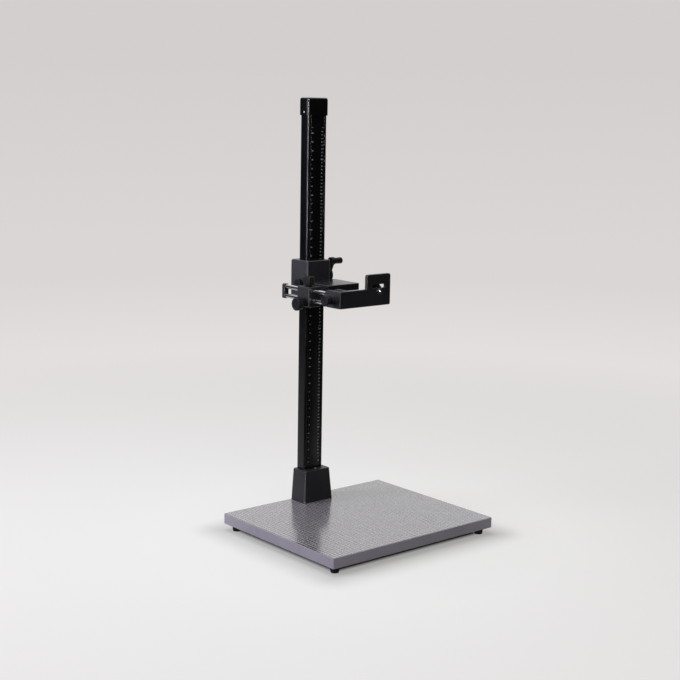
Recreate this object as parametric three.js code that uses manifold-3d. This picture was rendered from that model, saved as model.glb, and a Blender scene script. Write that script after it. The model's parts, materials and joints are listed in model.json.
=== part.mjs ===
// A copy stand. A carriage is cranked up and down a tall column on a baseboard, and a pair of
// rods slides in the carriage's arm to hold a tilting camera bracket over the board.
// Lengths are in millimetres. +Z is up and the front faces -Y. The origin is the centre of the
// board's top face.

import * as THREE from 'three';
import { mergeVertices } from 'three/addons/utils/BufferGeometryUtils.js';
import Module from 'manifold-3d';

const wasm = await Module();
wasm.setup();

// Fits and facets
const fitGap = 0.3;
const overrun = 3;
const roundSides = 20;
const smallSides = 10;
const hexSides = 6;
const cornerSteps = 3;

// Baseboard
const boardWidth = 600;
const boardDepth = 500;
const boardThickness = 30;
const boardCorner = 3;
const boardBevel = 1;

// Rubber feet
const footRadius = 12.5;
const footHeight = 20;
const footTaper = 1.2;
const footInset = 27;
const footFloor = 9;
const footScrewRadius = 2.5;
const footScrewHeadRadius = 5.5;
const footScrewGrip = 24;

// Column
const columnWidth = 68.5;
const columnDepth = 36;
const columnTop = 1190;
const columnSetback = 21;
const columnCorner = 4;
const columnWall = 4;
const grooveSide = 8;
const grooveWidth = 4.5;
const grooveDepth = 3;

// Casting that holds the column's lower end
const socketHeight = 96;
const socketFloor = 10;
const socketSideWall = 20.55;
const socketTopSideWall = 13.55;
const socketFrontWall = 29.3;
const socketTopFrontWall = 22.7;
const socketBackWall = 3;
const socketCorner = 7;
const socketRound = 3;
const socketBoltRadius = 4;
const socketBoltHeadRadius = 6.5;
const socketBoltHeadHeight = 5.3;
const socketBoltGrip = 22;
const socketBoltBack = 10;
const boltFlangeRadius = 9;
const boltFlangeThickness = 1.6;
const clampScrewRadius = 4;
const clampScrewLength = 9;
const clampScrewKeyRadius = 2.4;
const clampScrewHeight = 52;

// Round bubble level on the casting
const levelRadius = 8;
const levelWall = 2;
const levelRise = 3;
const levelSeat = 5;

// Cap on the column
const capOverhang = 3.6;
const capSkirt = 44;
const capRoof = 6.7;
const capCorner = 7;
const capRound = 6;
const capScrewRadius = 2;
const capScrewHeadRadius = 3;
const capScrewHeadHeight = 1.2;
const capScrewDrop = 35;
const capScrewOffset = 3;

// Rack on the column's right side and the crank pinion that climbs it
const pressureAngle = THREE.MathUtils.degToRad(25);
const addendumShare = 0.7;
const dedendumShare = 1;
const liftModule = 2.5;
const liftTeeth = 8;
const liftBacklash = 0.5;
const rackThickness = 5;
const rackBack = 4.5;
const rackStart = 150;
const rackEnd = 1120;
const rackScrewCount = 6;
const rackScrewEnd = 16;
const rackScrewRadius = 1.3;
const rackScrewHeadRadius = 2.1;

// Carriage that rides on the column
const carriageHeight = 659;
const housingBelow = 48;
const housingAbove = 68;
const housingSideWall = 6.75;
const housingFrontWall = 13.5;
const housingInnerWall = 6;
const housingCorner = 6;
const housingBevel = 1.5;
const glideThickness = 3;
const glideHeight = 20;
const rackClearance = 1;
const compartmentDepth = 12;
const compartmentWall = 8;
const coverThickness = 4;
const coverScrewRadius = 2;
const coverScrewGrip = 8;
const gibWidth = 40;
const gibHeight = 60;
const gibScrewRadius = 3;
const gibScrewHeadRadius = 5;
const gibScrewHeadHeight = 4.5;
const gibScrewStandoff = 1.2;

// Crank
const crankHeight = 20;
const crankForward = 3.5;
const crankBossRadius = 17;
const crankBossLength = 7.7;
const crankShaftRadius = 5;
const bushWall = 2.2;
const bushFlangeRadius = 10.5;
const bushFlangeThickness = 1.3;
const crankDiscRadius = 23.4;
const crankDiscThickness = 7;
const crankRadius = 40.67;
const crankRestAngle = THREE.MathUtils.degToRad(9.525);
const crankArmThickness = 4.5;
const crankArmRise = 9;
const crankArmHubRadius = 9.5;
const crankArmHubThickness = 6.2;
const crankArmRootHalfWidth = 6.5;
const crankArmTopHalfWidth = 8.5;
const crankArmEyeRadius = 11.7;
const crankArmEyeThickness = 13;
const crankBevel = 1;
const crankScrewRadius = 2.5;
const crankScrewHeadRadius = 6;
const crankScrewHeadHeight = 3;
const crankScrewGrip = 13;
const handlePinRadius = 3;
const handleCollarRadius = 5;
const handleCollarLength = 1;
const handlePinHeadRadius = 4.5;
const handlePinHeadDepth = 3;
const handleLength = 29.2;
const handleRadius = 9;
const handleFlare = 0.75;
const handleRound = 2.6;

// Knob that clamps the carriage to the column
const liftLockRadius = 14;
const liftLockDepth = 10.5;
const liftLockNeck = 1;
const liftLockNeckRadius = 9;
const liftLockStudRadius = 4;
const liftLockShoeRadius = 7;
const liftLockFlutes = 12;

// Arm plate
const armHalfWidth = 59;
const armLength = 113.5;
const armThickness = 20;
const armCorner = 4;
const armBevel = 1.2;
const armScrewRadius = 4;
const armScrewHeadRadius = 6.5;
const armScrewHeadHeight = 8;
const armScrewGrip = 30;
const armScrewPitch = 44;

// Rods that carry the camera bracket
const rodSide = 124;
const rodRadius = 6.25;
const rodPitch = 26.5;
const rodMiddleDrop = 11.75;
const rodLength = 228;

// Guide block beside the arm plate, and its wing under the plate
const blockLeft = 17.5;
const blockRight = 26.5;
const blockFront = 164;
const blockLength = 53;
const blockTop = 24.75;
const blockBottom = 32.25;
const blockRound = 3;
const wingReach = 72.5;
const wingLength = 95;
const wingFront = 139;
const wingThickness = 16;
const wingOutlineShares = [[0, 0], [0.49, 0], [1, 0.37], [1, 1], [0.49, 1], [0, 0.74]];
const wingScrewShares = [[0.62, 0.5], [0.62, 0.86], [0.87, 0.56], [0.87, 0.86]];
const wingScrewRadius = 2.5;
const wingScrewGrip = 12;
const rodBushWall = 2;
const rodBushShortfall = 1;

// Rack drive of the rods
const driveModule = 1.25;
const driveTeeth = 8;
const driveBacklash = 0.3;
const driveMeshGap = 0.2;
const driveFront = 137.5;
const driveFaceWidth = 12;
const driveShaftRadius = 3.6;
const driveTailLength = 9;
const driveBushLength = 10;
const driveKnobRadius = 18.5;
const driveKnobDepth = 16.5;
const driveNeckRadius = 10;
const driveNeckLength = 10.2;
const driveKnobFlutes = 12;
const rodRackStart = 196;
const rodRackLength = 150;

// Knob that clamps the rods
const rodLockFront = 141;
const rodLockRadius = 16;
const rodLockDepth = 22.5;
const rodLockNeckRadius = 8;
const rodLockNeckLength = 4.5;
const rodLockStudRadius = 3;
const rodLockShoeRadius = 3.6;
const rodLockShoeLength = 2.6;
const rodLockFlutes = 12;

// Plate across the rods' rear ends
const endPlateHalfWidth = 8;
const endPlateThickness = 11;
const endPlateAbove = 21;
const endPlateBelow = 21.2;
const endPlateCorner = 4;
const endPlateBevel = 0.8;
const endPlateSeat = 6;
const endScrewRadius = 2;
const endScrewHeadRadius = 3.6;
const endScrewHeadHeight = 3;
const endScrewGrip = 10;

// Head at the rods' front ends, and the tilt pivot through it
const pivotFront = 269;
const pivotDrop = 10;
const headNoseRadius = 20.5;
const headRight = 12;
const headRear = 37;
const headFloor = 24;
const headScrewRadius = 2;
const headScrewLength = 2.2;
const headScrewBack = 24;
const pivotBoltRadius = 4;
const pivotBoltHeadRadius = 7;
const pivotBoltHeadHeight = 5;

// Camera bracket
const cheekThickness = 8;
const cheekRear = 40;
const cheekNoseRadius = 19;
const bracketPlateThickness = 10;
const bracketPlateGap = 0.5;
const bracketWidth = 183.5;
const bracketBelow = 22.2;
const bracketAbove = 25.5;
const bracketCorner = 4;
const bracketBevel = 0.9;
const cameraPlateWidth = 87;
const cameraPlateAbove = 66;
const cameraPlateCorner = 6;
const cameraPlateStepCorner = 3;
const pivotBossRadius = 13;
const pivotBossLength = 8;
const slotWidth = 50;
const slotHeight = 11;
const slotAbove = 32;
const slotEnd = 4;
const slotLegWidth = 8.4;
const slotLegDrop = 14;

// Tilt knob and its washer
const tiltWasherRadius = 12;
const tiltWasherThickness = 2.4;
const tiltKnobRadius = 15.5;
const tiltKnobDepth = 11;
const tiltCollarRadius = 10;
const tiltCollarLength = 9;
const tiltKnobFlutes = 12;

// Camera screw
const cameraScrewRadius = 3.17;
const cameraScrewReach = 6.5;
const cameraScrewCollarRadius = 7.5;
const cameraScrewCollarLength = 1.6;
const cameraKnobRadius = 21.5;
const cameraKnobDepth = 14;
const cameraKnobFlutes = 12;
const slideBushRadius = 9;
const slideBushThickness = 2;

// Knurled and fluted knobs
const flutesDepth = 0.9;
const knobRound = 1.2;
const knobBoreGap = 0.3;

// Places worked out from the sizes above
const columnY = boardDepth / 2 - columnSetback;
const halfColumn = columnWidth / 2;
const halfDepth = columnDepth / 2;
const cavityLeft = halfColumn + glideThickness;
const cavityRight = halfColumn + rackThickness + rackClearance;
const cavityFront = halfDepth + glideThickness;
const housingHalf = cavityLeft + housingSideWall;
const housingFront = cavityFront + housingFrontWall;
const housingInner = cavityFront + housingInnerWall;
const housingRear = housingInner + compartmentDepth;
const liftRadius = liftModule * liftTeeth / 2;
const driveRadius = driveModule * driveTeeth / 2;
const rackPitchLine = liftRadius - crankForward;
const rackRoot = rackPitchLine + liftModule * dedendumShare;
const upperRod = rodPitch / 2;
const lowerRod = -rodPitch / 2;
const rodsAbovePivot = pivotDrop - rodMiddleDrop;
const bushOuter = crankShaftRadius + fitGap + bushWall;
const discStart = housingHalf + crankBossLength + bushFlangeThickness + fitGap;
const armStart = discStart + crankDiscThickness;
const eyeFace = armStart + crankArmRise + crankArmThickness;
const handleStart = eyeFace + handleCollarLength;
const blockSplit = blockFront - blockLength;
const rodBushRadius = rodRadius + fitGap + rodBushWall;
const driveDrop = -lowerRod + rodRadius + driveRadius - driveModule * dedendumShare + driveMeshGap;
const plateInner = headNoseRadius + bracketPlateGap;
const plateOuter = plateInner + bracketPlateThickness;
const cheekInner = blockLeft - cheekThickness;
const lugInner = headRight + fitGap;
const cameraPlateRight = bracketWidth - blockLeft;
const slotLegAbove = slotAbove - slotLegDrop;

// Finishes
function finish(color, roughness, metalness) {
  return new THREE.MeshStandardMaterial({ color, roughness, metalness, flatShading: true });
}

function greyLaminate() {
  return finish(0xa29fa3, 0.45, 0);
}

function blackRubber() {
  return finish(0x16161a, 0.9, 0);
}

function blackLacquer() {
  return finish(0x1a1b1f, 0.35, 0.2);
}

function blackCasting() {
  return finish(0x1c1c21, 0.55, 0.3);
}

function columnCoat() {
  return finish(0x17181b, 0.42, 0.5);
}

function blackPlastic() {
  return finish(0x1d1c20, 0.5, 0);
}

function capPlastic() {
  return finish(0x222226, 0.6, 0);
}

function chromePlate() {
  return finish(0xd9dade, 0.12, 1);
}

function brightSteel() {
  return finish(0xb4b6ba, 0.3, 1);
}

function darkSteel() {
  return finish(0x34353a, 0.45, 0.9);
}

function yellowBrass() {
  return finish(0xb58d45, 0.35, 1);
}

function slideNylon() {
  return finish(0x1b1b1e, 0.6, 0);
}

function levelFluid() {
  return finish(0xb7c23a, 0.15, 0);
}

// Working with solids
function toSolid(geometry) {
  const bare = geometry.clone();
  bare.deleteAttribute('normal');
  bare.deleteAttribute('uv');
  const welded = mergeVertices(bare);
  const corners = welded.index.array;
  const triangles = [];
  for (let i = 0; i < corners.length; i += 3) {
    const [a, b, c] = [corners[i], corners[i + 1], corners[i + 2]];
    if (a !== b && b !== c && c !== a) {
      triangles.push(a, b, c);
    }
  }
  return new wasm.Manifold(new wasm.Mesh({
    numProp: 3,
    vertProperties: new Float32Array(welded.attributes.position.array),
    triVerts: new Uint32Array(triangles),
  }));
}

function toGeometry(solid) {
  const mesh = solid.getMesh();
  const geometry = new THREE.BufferGeometry();
  geometry.setAttribute('position', new THREE.BufferAttribute(mesh.vertProperties, 3));
  geometry.setIndex(new THREE.BufferAttribute(mesh.triVerts, 1));
  return geometry;
}

function join(...shapes) {
  const solids = shapes.flat().map(toSolid);
  return toGeometry(solids.reduce((whole, next) => whole.add(next)));
}

function cut(shape, ...tools) {
  const solids = tools.flat().map(toSolid);
  return toGeometry(solids.reduce((whole, next) => whole.subtract(next), toSolid(shape)));
}

function piece(name, geometry, material, x = 0, y = 0, z = 0) {
  const mesh = new THREE.Mesh(geometry, material);
  mesh.name = name;
  mesh.position.set(x, y, z);
  return mesh;
}

function shifted(geometry, x, y, z) {
  return geometry.translate(x, y, z);
}

// Shapes. An axis is the letter of the direction that a shape is pushed or turned along.
function block(x, y, z) {
  const geometry = new THREE.BoxGeometry(x[1] - x[0], y[1] - y[0], z[1] - z[0]);
  return shifted(geometry, (x[0] + x[1]) / 2, (y[0] + y[1]) / 2, (z[0] + z[1]) / 2);
}

function alongAxis(geometry, axis) {
  if (axis === 'x') {
    geometry.rotateZ(-Math.PI / 2);
  }
  if (axis === 'z') {
    geometry.rotateX(Math.PI / 2);
  }
  return geometry;
}

function cylinder(axis, radius, from, to, sides = roundSides) {
  const geometry = new THREE.CylinderGeometry(radius, radius, to - from, sides);
  return alongAxis(shifted(geometry, 0, (from + to) / 2, 0), axis);
}

// The profile holds pairs of radius and height, in order up the outside.
function turned(axis, profile, sides = roundSides) {
  const points = profile.map(([radius, height]) => new THREE.Vector2(radius, height));
  return alongAxis(new THREE.LatheGeometry(points, sides), axis);
}

// Corners are x, y and a fillet radius. The fillets bend both ways.
function filleted(corners) {
  return corners.flatMap(([x, y, radius], i) => {
    const corner = new THREE.Vector2(x, y);
    if (!radius) {
      return [corner];
    }
    const before = corners.at(i - 1);
    const after = corners[(i + 1) % corners.length];
    const back = new THREE.Vector2(before[0], before[1]).sub(corner).normalize();
    const ahead = new THREE.Vector2(after[0], after[1]).sub(corner).normalize();
    const half = back.angleTo(ahead) / 2;
    const inwards = back.clone().add(ahead).normalize();
    const centre = corner.clone().addScaledVector(inwards, radius / Math.sin(half));
    const start = corner.clone().addScaledVector(back, radius / Math.tan(half)).sub(centre);
    const end = corner.clone().addScaledVector(ahead, radius / Math.tan(half)).sub(centre);
    const sweep = Math.atan2(start.cross(end), start.dot(end));
    return Array.from({ length: cornerSteps + 1 }, (_, k) => (
      start.clone().rotateAround(new THREE.Vector2(), sweep * k / cornerSteps).add(centre)));
  });
}

function rectangle(x, y, radius = 0) {
  return filleted([
    [x[0], y[0], radius],
    [x[1], y[0], radius],
    [x[1], y[1], radius],
    [x[0], y[1], radius],
  ]);
}

// An outline lies in X-Y for z, in Y-Z for x and in X-Z for y.
function pushed(axis, outline, from, to, bevel = 0) {
  const geometry = new THREE.ExtrudeGeometry(new THREE.Shape(outline), {
    depth: to - from - 2 * bevel,
    bevelEnabled: bevel > 0,
    bevelThickness: bevel,
    bevelSize: bevel,
    bevelOffset: -bevel,
    bevelSegments: 1,
  });
  const [unitX, unitY, unitZ] = [[1, 0, 0], [0, 1, 0], [0, 0, 1]].map((unit) => new THREE.Vector3(...unit));
  const bases = {
    x: [unitY, unitZ, unitX],
    y: [unitX, unitZ, unitY.clone().negate()],
    z: [unitX, unitY, unitZ],
  };
  geometry.translate(0, 0, axis === 'y' ? bevel - to : bevel + from);
  return geometry.applyMatrix4(new THREE.Matrix4().makeBasis(...bases[axis]));
}

// Rings are outlines with a height each, all with as many points, from the lowest up.
function lofted(rings) {
  const count = rings[0].outline.length;
  const positions = rings.flatMap(({ outline, height }) => outline.flatMap(({ x, y }) => [x, y, height]));
  const faces = [];
  for (let ring = 0; ring < rings.length - 1; ring += 1) {
    for (let i = 0; i < count; i += 1) {
      const next = (i + 1) % count;
      const low = ring * count;
      const high = low + count;
      faces.push(low + i, low + next, high + next, low + i, high + next, high + i);
    }
  }
  const top = (rings.length - 1) * count;
  THREE.ShapeUtils.triangulateShape(rings[0].outline, []).forEach(([a, b, c]) => faces.push(a, c, b));
  THREE.ShapeUtils.triangulateShape(rings.at(-1).outline, []).forEach(([a, b, c]) => (
    faces.push(top + a, top + b, top + c)));
  const geometry = new THREE.BufferGeometry();
  geometry.setAttribute('position', new THREE.Float32BufferAttribute(positions, 3));
  geometry.setIndex(faces);
  return geometry;
}

function fluted(radius, flutes) {
  const steps = 4;
  return Array.from({ length: flutes * steps }, (_, i) => {
    const angle = 2 * Math.PI * i / (flutes * steps);
    const reach = radius - flutesDepth * (1 - Math.cos(flutes * angle)) / 2;
    return new THREE.Vector2(reach * Math.cos(angle), reach * Math.sin(angle));
  });
}

// A gear's teeth are numbered from the direction of the first outline axis.
function gearOutline(module, teeth, backlash) {
  const pitchRadius = module * teeth / 2;
  const baseRadius = pitchRadius * Math.cos(pressureAngle);
  const tipRadius = pitchRadius + module * addendumShare;
  const rootRadius = pitchRadius - module * dedendumShare;
  const involute = (angle) => Math.tan(angle) - angle;
  const halfTooth = (radius) => (
    Math.PI / (2 * teeth) - backlash / (4 * pitchRadius)
    + involute(pressureAngle) - involute(Math.acos(Math.min(1, baseRadius / radius))));
  const radii = [rootRadius, baseRadius, (baseRadius + tipRadius) / 2, tipRadius];
  const flank = radii.map((radius) => [radius, halfTooth(radius)]);
  const tooth = [...flank.map(([radius, half]) => [radius, -half]), ...flank.toReversed()];
  return Array.from({ length: teeth }, (_, k) => 2 * Math.PI * k / teeth).flatMap((turn) => (
    tooth.map(([radius, half]) => new THREE.Vector2(
      radius * Math.cos(turn + half), radius * Math.sin(turn + half)))));
}

// The profile of a rack's teeth along one direction, with a space centred on the middle. Pairs
// hold the place along the rack and the depth from the pitch line to the teeth's side.
function rackProfile(module, backlash, middle, from, to) {
  const pitch = Math.PI * module;
  const addendum = module * addendumShare;
  const dedendum = module * dedendumShare;
  const halfPitchLine = pitch / 4 - backlash / 4;
  const halfTip = halfPitchLine - addendum * Math.tan(pressureAngle);
  const halfRoot = halfPitchLine + dedendum * Math.tan(pressureAngle);
  const first = Math.ceil((from + halfRoot - middle) / pitch - 1 / 2);
  const last = Math.floor((to - halfRoot - middle) / pitch - 1 / 2);
  return Array.from({ length: last - first + 1 }, (_, k) => middle + (first + k + 1 / 2) * pitch)
    .flatMap((centre) => [
      [centre - halfRoot, -dedendum],
      [centre - halfTip, addendum],
      [centre + halfTip, addendum],
      [centre + halfRoot, -dedendum],
    ]);
}

// Base
function footPlaces() {
  const x = boardWidth / 2 - footInset;
  const y = boardDepth / 2 - footInset;
  return [['front_left', -x, -y], ['front_right', x, -y], ['rear_left', -x, y], ['rear_right', x, y]];
}

function socketBoltPlaces() {
  const x = halfColumn + socketSideWall / 2;
  const front = columnY - halfDepth - socketFrontWall / 2;
  const rear = columnY + halfDepth - socketBoltBack;
  return [[-x, front], [x, front], [-x, rear], [x, rear]];
}

function baseboard() {
  const outline = rectangle(
    [-boardWidth / 2, boardWidth / 2], [-boardDepth / 2, boardDepth / 2], boardCorner);
  const slab = pushed('z', outline, -boardThickness, 0, boardBevel);
  const screwHoles = footPlaces().map(([, x, y]) => shifted(
    cylinder('z', footScrewRadius + fitGap, -boardThickness - overrun,
      footFloor + footScrewGrip - footHeight - boardThickness + fitGap, smallSides), x, y, 0));
  const boltHoles = socketBoltPlaces().map(([x, y]) => shifted(
    cylinder('z', socketBoltRadius + fitGap, -boardThickness - overrun, overrun, smallSides), x, y, 0));
  return piece('baseboard', cut(slab, screwHoles, boltHoles), greyLaminate());
}

function rubberFoot([place, x, y]) {
  const body = turned('z', [
    [0, 0],
    [footRadius - footTaper, 0],
    [footRadius, footHeight / 2],
    [footRadius, footHeight],
    [0, footHeight],
  ]);
  const recess = cylinder('z', footScrewHeadRadius + fitGap, -overrun, footFloor, smallSides);
  const hole = cylinder('z', footScrewRadius + fitGap, 0, footHeight + overrun, smallSides);
  return piece(`foot_${place}`, cut(body, recess, hole), blackRubber(), x, y, -boardThickness - footHeight);
}

function socketRing(side, front, inset, height) {
  const x = halfColumn + side - inset;
  const y = [-halfDepth - front + inset, halfDepth + socketBackWall - inset];
  return { outline: rectangle([-x, x], y, socketCorner - inset), height };
}

function columnSocket() {
  const bend = socketRound * (1 - Math.SQRT1_2);
  const body = lofted([
    socketRing(socketSideWall, socketFrontWall, 0, 0),
    socketRing(socketTopSideWall, socketTopFrontWall, 0, socketHeight - socketRound),
    socketRing(socketTopSideWall, socketTopFrontWall, bend, socketHeight - bend),
    socketRing(socketTopSideWall, socketTopFrontWall, socketRound, socketHeight),
  ]);
  const pocket = pushed('z', rectangle(
    [-halfColumn - fitGap, halfColumn + fitGap], [-halfDepth - fitGap, halfDepth + fitGap], columnCorner),
  socketFloor, socketHeight + overrun);
  const boltHoles = socketBoltPlaces().map(([x, y]) => shifted(
    cylinder('z', socketBoltRadius + fitGap, -overrun, socketBoltGrip + fitGap, smallSides),
    x, y - columnY, 0));
  const screwHole = shifted(cylinder('x', clampScrewRadius + fitGap, halfColumn,
    halfColumn + socketSideWall + overrun, smallSides), 0, 0, clampScrewHeight);
  const levelSeatHole = shifted(
    cylinder('z', levelRadius + fitGap, socketHeight - levelSeat, socketHeight + overrun), 0, levelY(), 0);
  return piece('column_socket', cut(body, pocket, boltHoles, screwHole, levelSeatHole), blackCasting(),
    0, columnY, 0);
}

function clampScrew() {
  const start = halfColumn + fitGap;
  const body = cylinder('x', clampScrewRadius, start, start + clampScrewLength, smallSides);
  const key = cylinder('x', clampScrewKeyRadius, start + clampScrewLength / 2,
    start + clampScrewLength + overrun, hexSides);
  return piece('column_clamp_screw', cut(body, key), darkSteel(), 0, columnY, clampScrewHeight);
}

// A flanged hexagon bolt goes up through the board into the casting.
function socketBolt([x, y], i) {
  const under = -boardThickness - boltFlangeThickness;
  const head = cylinder('z', socketBoltHeadRadius, under - socketBoltHeadHeight, under, hexSides);
  const flange = cylinder('z', boltFlangeRadius, under, -boardThickness);
  const shank = cylinder('z', socketBoltRadius, under, socketBoltGrip, smallSides);
  return piece(`column_bolt_${i + 1}`, join(head, flange, shank), brightSteel(), x, y, 0);
}

function levelY() {
  return -halfDepth - socketTopFrontWall / 2;
}

function levelCup() {
  const floor = socketHeight - levelSeat;
  const body = cylinder('z', levelRadius, floor, socketHeight + levelRise);
  const bowl = cylinder('z', levelRadius - levelWall, floor + levelWall, socketHeight + levelRise + overrun);
  return piece('level_cup', cut(body, bowl), blackPlastic(), 0, columnY + levelY(), 0);
}

function levelVial() {
  const floor = socketHeight - levelSeat + levelWall;
  const rim = socketHeight + levelRise - levelWall / 2;
  const radius = levelRadius - levelWall - fitGap;
  return piece('level_vial', turned('z', [
    [0, floor],
    [radius, floor],
    [radius, rim],
    [radius / 2, rim + levelWall / 2],
    [0, rim + levelWall / 2],
  ]), levelFluid(), 0, columnY + levelY(), 0);
}

// Column
function columnOutline() {
  const outer = halfColumn - grooveSide;
  const inner = outer - grooveWidth;
  const front = -halfDepth;
  const floor = front + grooveDepth;
  return filleted([
    [-halfColumn, front, columnCorner],
    [-outer, front, 0],
    [-outer, floor, 0],
    [-inner, floor, 0],
    [-inner, front, 0],
    [inner, front, 0],
    [inner, floor, 0],
    [outer, floor, 0],
    [outer, front, 0],
    [halfColumn, front, columnCorner],
    [halfColumn, halfDepth, columnCorner],
    [-halfColumn, halfDepth, columnCorner],
  ]);
}

function column() {
  const bar = pushed('z', columnOutline(), socketFloor, columnTop);
  const bore = pushed('z', rectangle(
    [-halfColumn + columnWall, halfColumn - columnWall],
    [-halfDepth + grooveDepth + columnWall, halfDepth - columnWall]),
  socketFloor - overrun, columnTop + overrun);
  const rackHoles = rackScrewPlaces().map((height) => shifted(
    cylinder('x', rackScrewRadius + fitGap, halfColumn - columnWall - overrun, halfColumn + overrun,
      smallSides), 0, rackScrewY(), height));
  const capHole = shifted(
    cylinder('x', capScrewRadius + fitGap, -halfColumn - overrun, -halfColumn + columnWall + overrun,
      smallSides), 0, -capScrewOffset, columnTop - capScrewDrop);
  return piece('column', cut(bar, bore, rackHoles, capHole), columnCoat(), 0, columnY, 0);
}

function rackScrewY() {
  return rackRoot + rackBack / 2;
}

function rackScrewPlaces() {
  const pitch = (rackEnd - rackStart - 2 * rackScrewEnd) / (rackScrewCount - 1);
  return Array.from({ length: rackScrewCount }, (_, i) => rackStart + rackScrewEnd + i * pitch);
}

function rackScrewSink() {
  const face = halfColumn + rackThickness;
  const radius = rackScrewRadius + fitGap;
  const headRadius = rackScrewHeadRadius + fitGap;
  return turned('x', [
    [0, halfColumn - overrun],
    [radius, halfColumn - overrun],
    [radius, face - rackScrewHeadRadius],
    [headRadius, face],
    [headRadius, face + overrun],
    [0, face + overrun],
  ], smallSides);
}

function gearRack() {
  const back = rackRoot + rackBack;
  const profile = rackProfile(liftModule, liftBacklash, carriageHeight + crankHeight, rackStart, rackEnd)
    .map(([along, depth]) => new THREE.Vector2(rackPitchLine - depth, along));
  const outline = [
    new THREE.Vector2(back, rackEnd),
    new THREE.Vector2(rackRoot, rackEnd),
    ...profile.toReversed(),
    new THREE.Vector2(rackRoot, rackStart),
    new THREE.Vector2(back, rackStart),
  ];
  const strip = pushed('x', outline, halfColumn, halfColumn + rackThickness);
  const sinks = rackScrewPlaces().map((height) => shifted(rackScrewSink(), 0, rackScrewY(), height));
  return piece('gear_rack', cut(strip, sinks), darkSteel(), 0, columnY, 0);
}

function capRing(inset, height) {
  const x = halfColumn + capOverhang - inset;
  const y = halfDepth + capOverhang - inset;
  return { outline: rectangle([-x, x], [-y, y], capCorner - inset), height };
}

function columnCap() {
  const top = columnTop + capRoof;
  const bend = capRound * (1 - Math.SQRT1_2);
  const body = lofted([
    capRing(0, columnTop - capSkirt),
    capRing(0, top - capRound),
    capRing(bend, top - bend),
    capRing(capRound, top),
  ]);
  const socket = pushed('z', rectangle(
    [-halfColumn - fitGap, halfColumn + fitGap], [-halfDepth - fitGap, halfDepth + fitGap], columnCorner),
  columnTop - capSkirt - overrun, columnTop + fitGap);
  const screwHole = shifted(
    cylinder('x', capScrewRadius + fitGap, -halfColumn - capOverhang - overrun, -halfColumn, smallSides),
    0, -capScrewOffset, columnTop - capScrewDrop);
  return piece('column_cap', cut(body, socket, screwHole), capPlastic(), 0, columnY, 0);
}

function capScrew() {
  const side = -halfColumn - capOverhang;
  const head = cylinder('x', capScrewHeadRadius, side - capScrewHeadHeight, side, smallSides);
  const shank = cylinder('x', capScrewRadius, side - capScrewHeadHeight / 2, -halfColumn + columnWall,
    smallSides);
  return piece('cap_screw', join(head, shank), brightSteel(),
    0, columnY - capScrewOffset, columnTop - capScrewDrop);
}

// Carriage. Its pieces are placed from the column's centre line at the middle of the arm plate.
function coverScrewPlaces() {
  const x = housingHalf - compartmentWall / 2;
  const low = -housingBelow + compartmentWall / 2;
  const high = housingAbove - compartmentWall / 2;
  return [[-x, low], [x, low], [-x, high], [x, high]];
}

function housingMiddle() {
  return (housingAbove - housingBelow) / 2;
}

function armScrewPlaces() {
  return [-armScrewPitch / 2, armScrewPitch / 2];
}

function carriageHousing() {
  const shell = pushed('z', filleted([
    [-housingHalf, -housingFront, housingCorner],
    [housingHalf, -housingFront, housingCorner],
    [housingHalf, housingRear, 0],
    [-housingHalf, housingRear, 0],
  ]), -housingBelow, housingAbove, housingBevel);
  const boss = shifted(cylinder('x', crankBossRadius, cavityRight, housingHalf + crankBossLength),
    0, -crankForward, crankHeight);
  const bore = block([-cavityLeft, cavityRight], [-cavityFront, cavityFront],
    [-housingBelow - overrun, housingAbove + overrun]);
  const compartment = block(
    [-housingHalf + compartmentWall, housingHalf - compartmentWall],
    [housingInner, housingRear + overrun],
    [-housingBelow + compartmentWall, housingAbove - compartmentWall]);
  const shaftHole = shifted(cylinder('x', bushOuter + fitGap, cavityRight - overrun,
    housingHalf + crankBossLength + overrun), 0, -crankForward, crankHeight);
  const lockHole = cylinder('x', liftLockStudRadius + fitGap, -housingHalf - overrun,
    -cavityLeft + overrun, smallSides);
  const gibHole = shifted(cylinder('y', gibScrewRadius + fitGap, cavityFront - overrun,
    housingInner + overrun, smallSides), 0, 0, housingMiddle());
  const coverHoles = coverScrewPlaces().map(([x, z]) => shifted(
    cylinder('y', coverScrewRadius + fitGap, housingRear - coverScrewGrip - fitGap, housingRear + overrun,
      smallSides), x, 0, z));
  const armHoles = armScrewPlaces().map((x) => shifted(join(
    cylinder('y', armScrewRadius + fitGap, -housingFront - overrun, -cavityFront, smallSides),
    cylinder('y', armScrewHeadRadius + fitGap, -cavityFront - armScrewHeadHeight - fitGap,
      -cavityFront + overrun, smallSides)), x, 0, 0));
  return piece('carriage_housing',
    cut(join(shell, boss), bore, compartment, shaftHole, lockHole, gibHole, coverHoles, armHoles),
    blackLacquer());
}

function glideRing(name, from, to) {
  const body = block(
    [-cavityLeft + fitGap, cavityRight - fitGap], [-cavityFront + fitGap, cavityFront - fitGap], [from, to]);
  const hole = pushed('z', rectangle(
    [-halfColumn - fitGap, halfColumn + fitGap], [-halfDepth - fitGap, halfDepth + fitGap], columnCorner),
  from - overrun, to + overrun);
  const tips = rackPitchLine - liftModule * addendumShare - rackClearance;
  const gate = block([halfColumn, cavityRight + overrun], [tips, rackRoot + rackBack + rackClearance],
    [from - overrun, to + overrun]);
  return piece(name, cut(body, hole, gate), slideNylon());
}

function gibPlate() {
  return piece('gib_plate', block([-gibWidth / 2, gibWidth / 2], [halfDepth + fitGap, cavityFront - fitGap],
    [-gibHeight / 2, gibHeight / 2]), yellowBrass(), 0, 0, housingMiddle());
}

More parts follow.
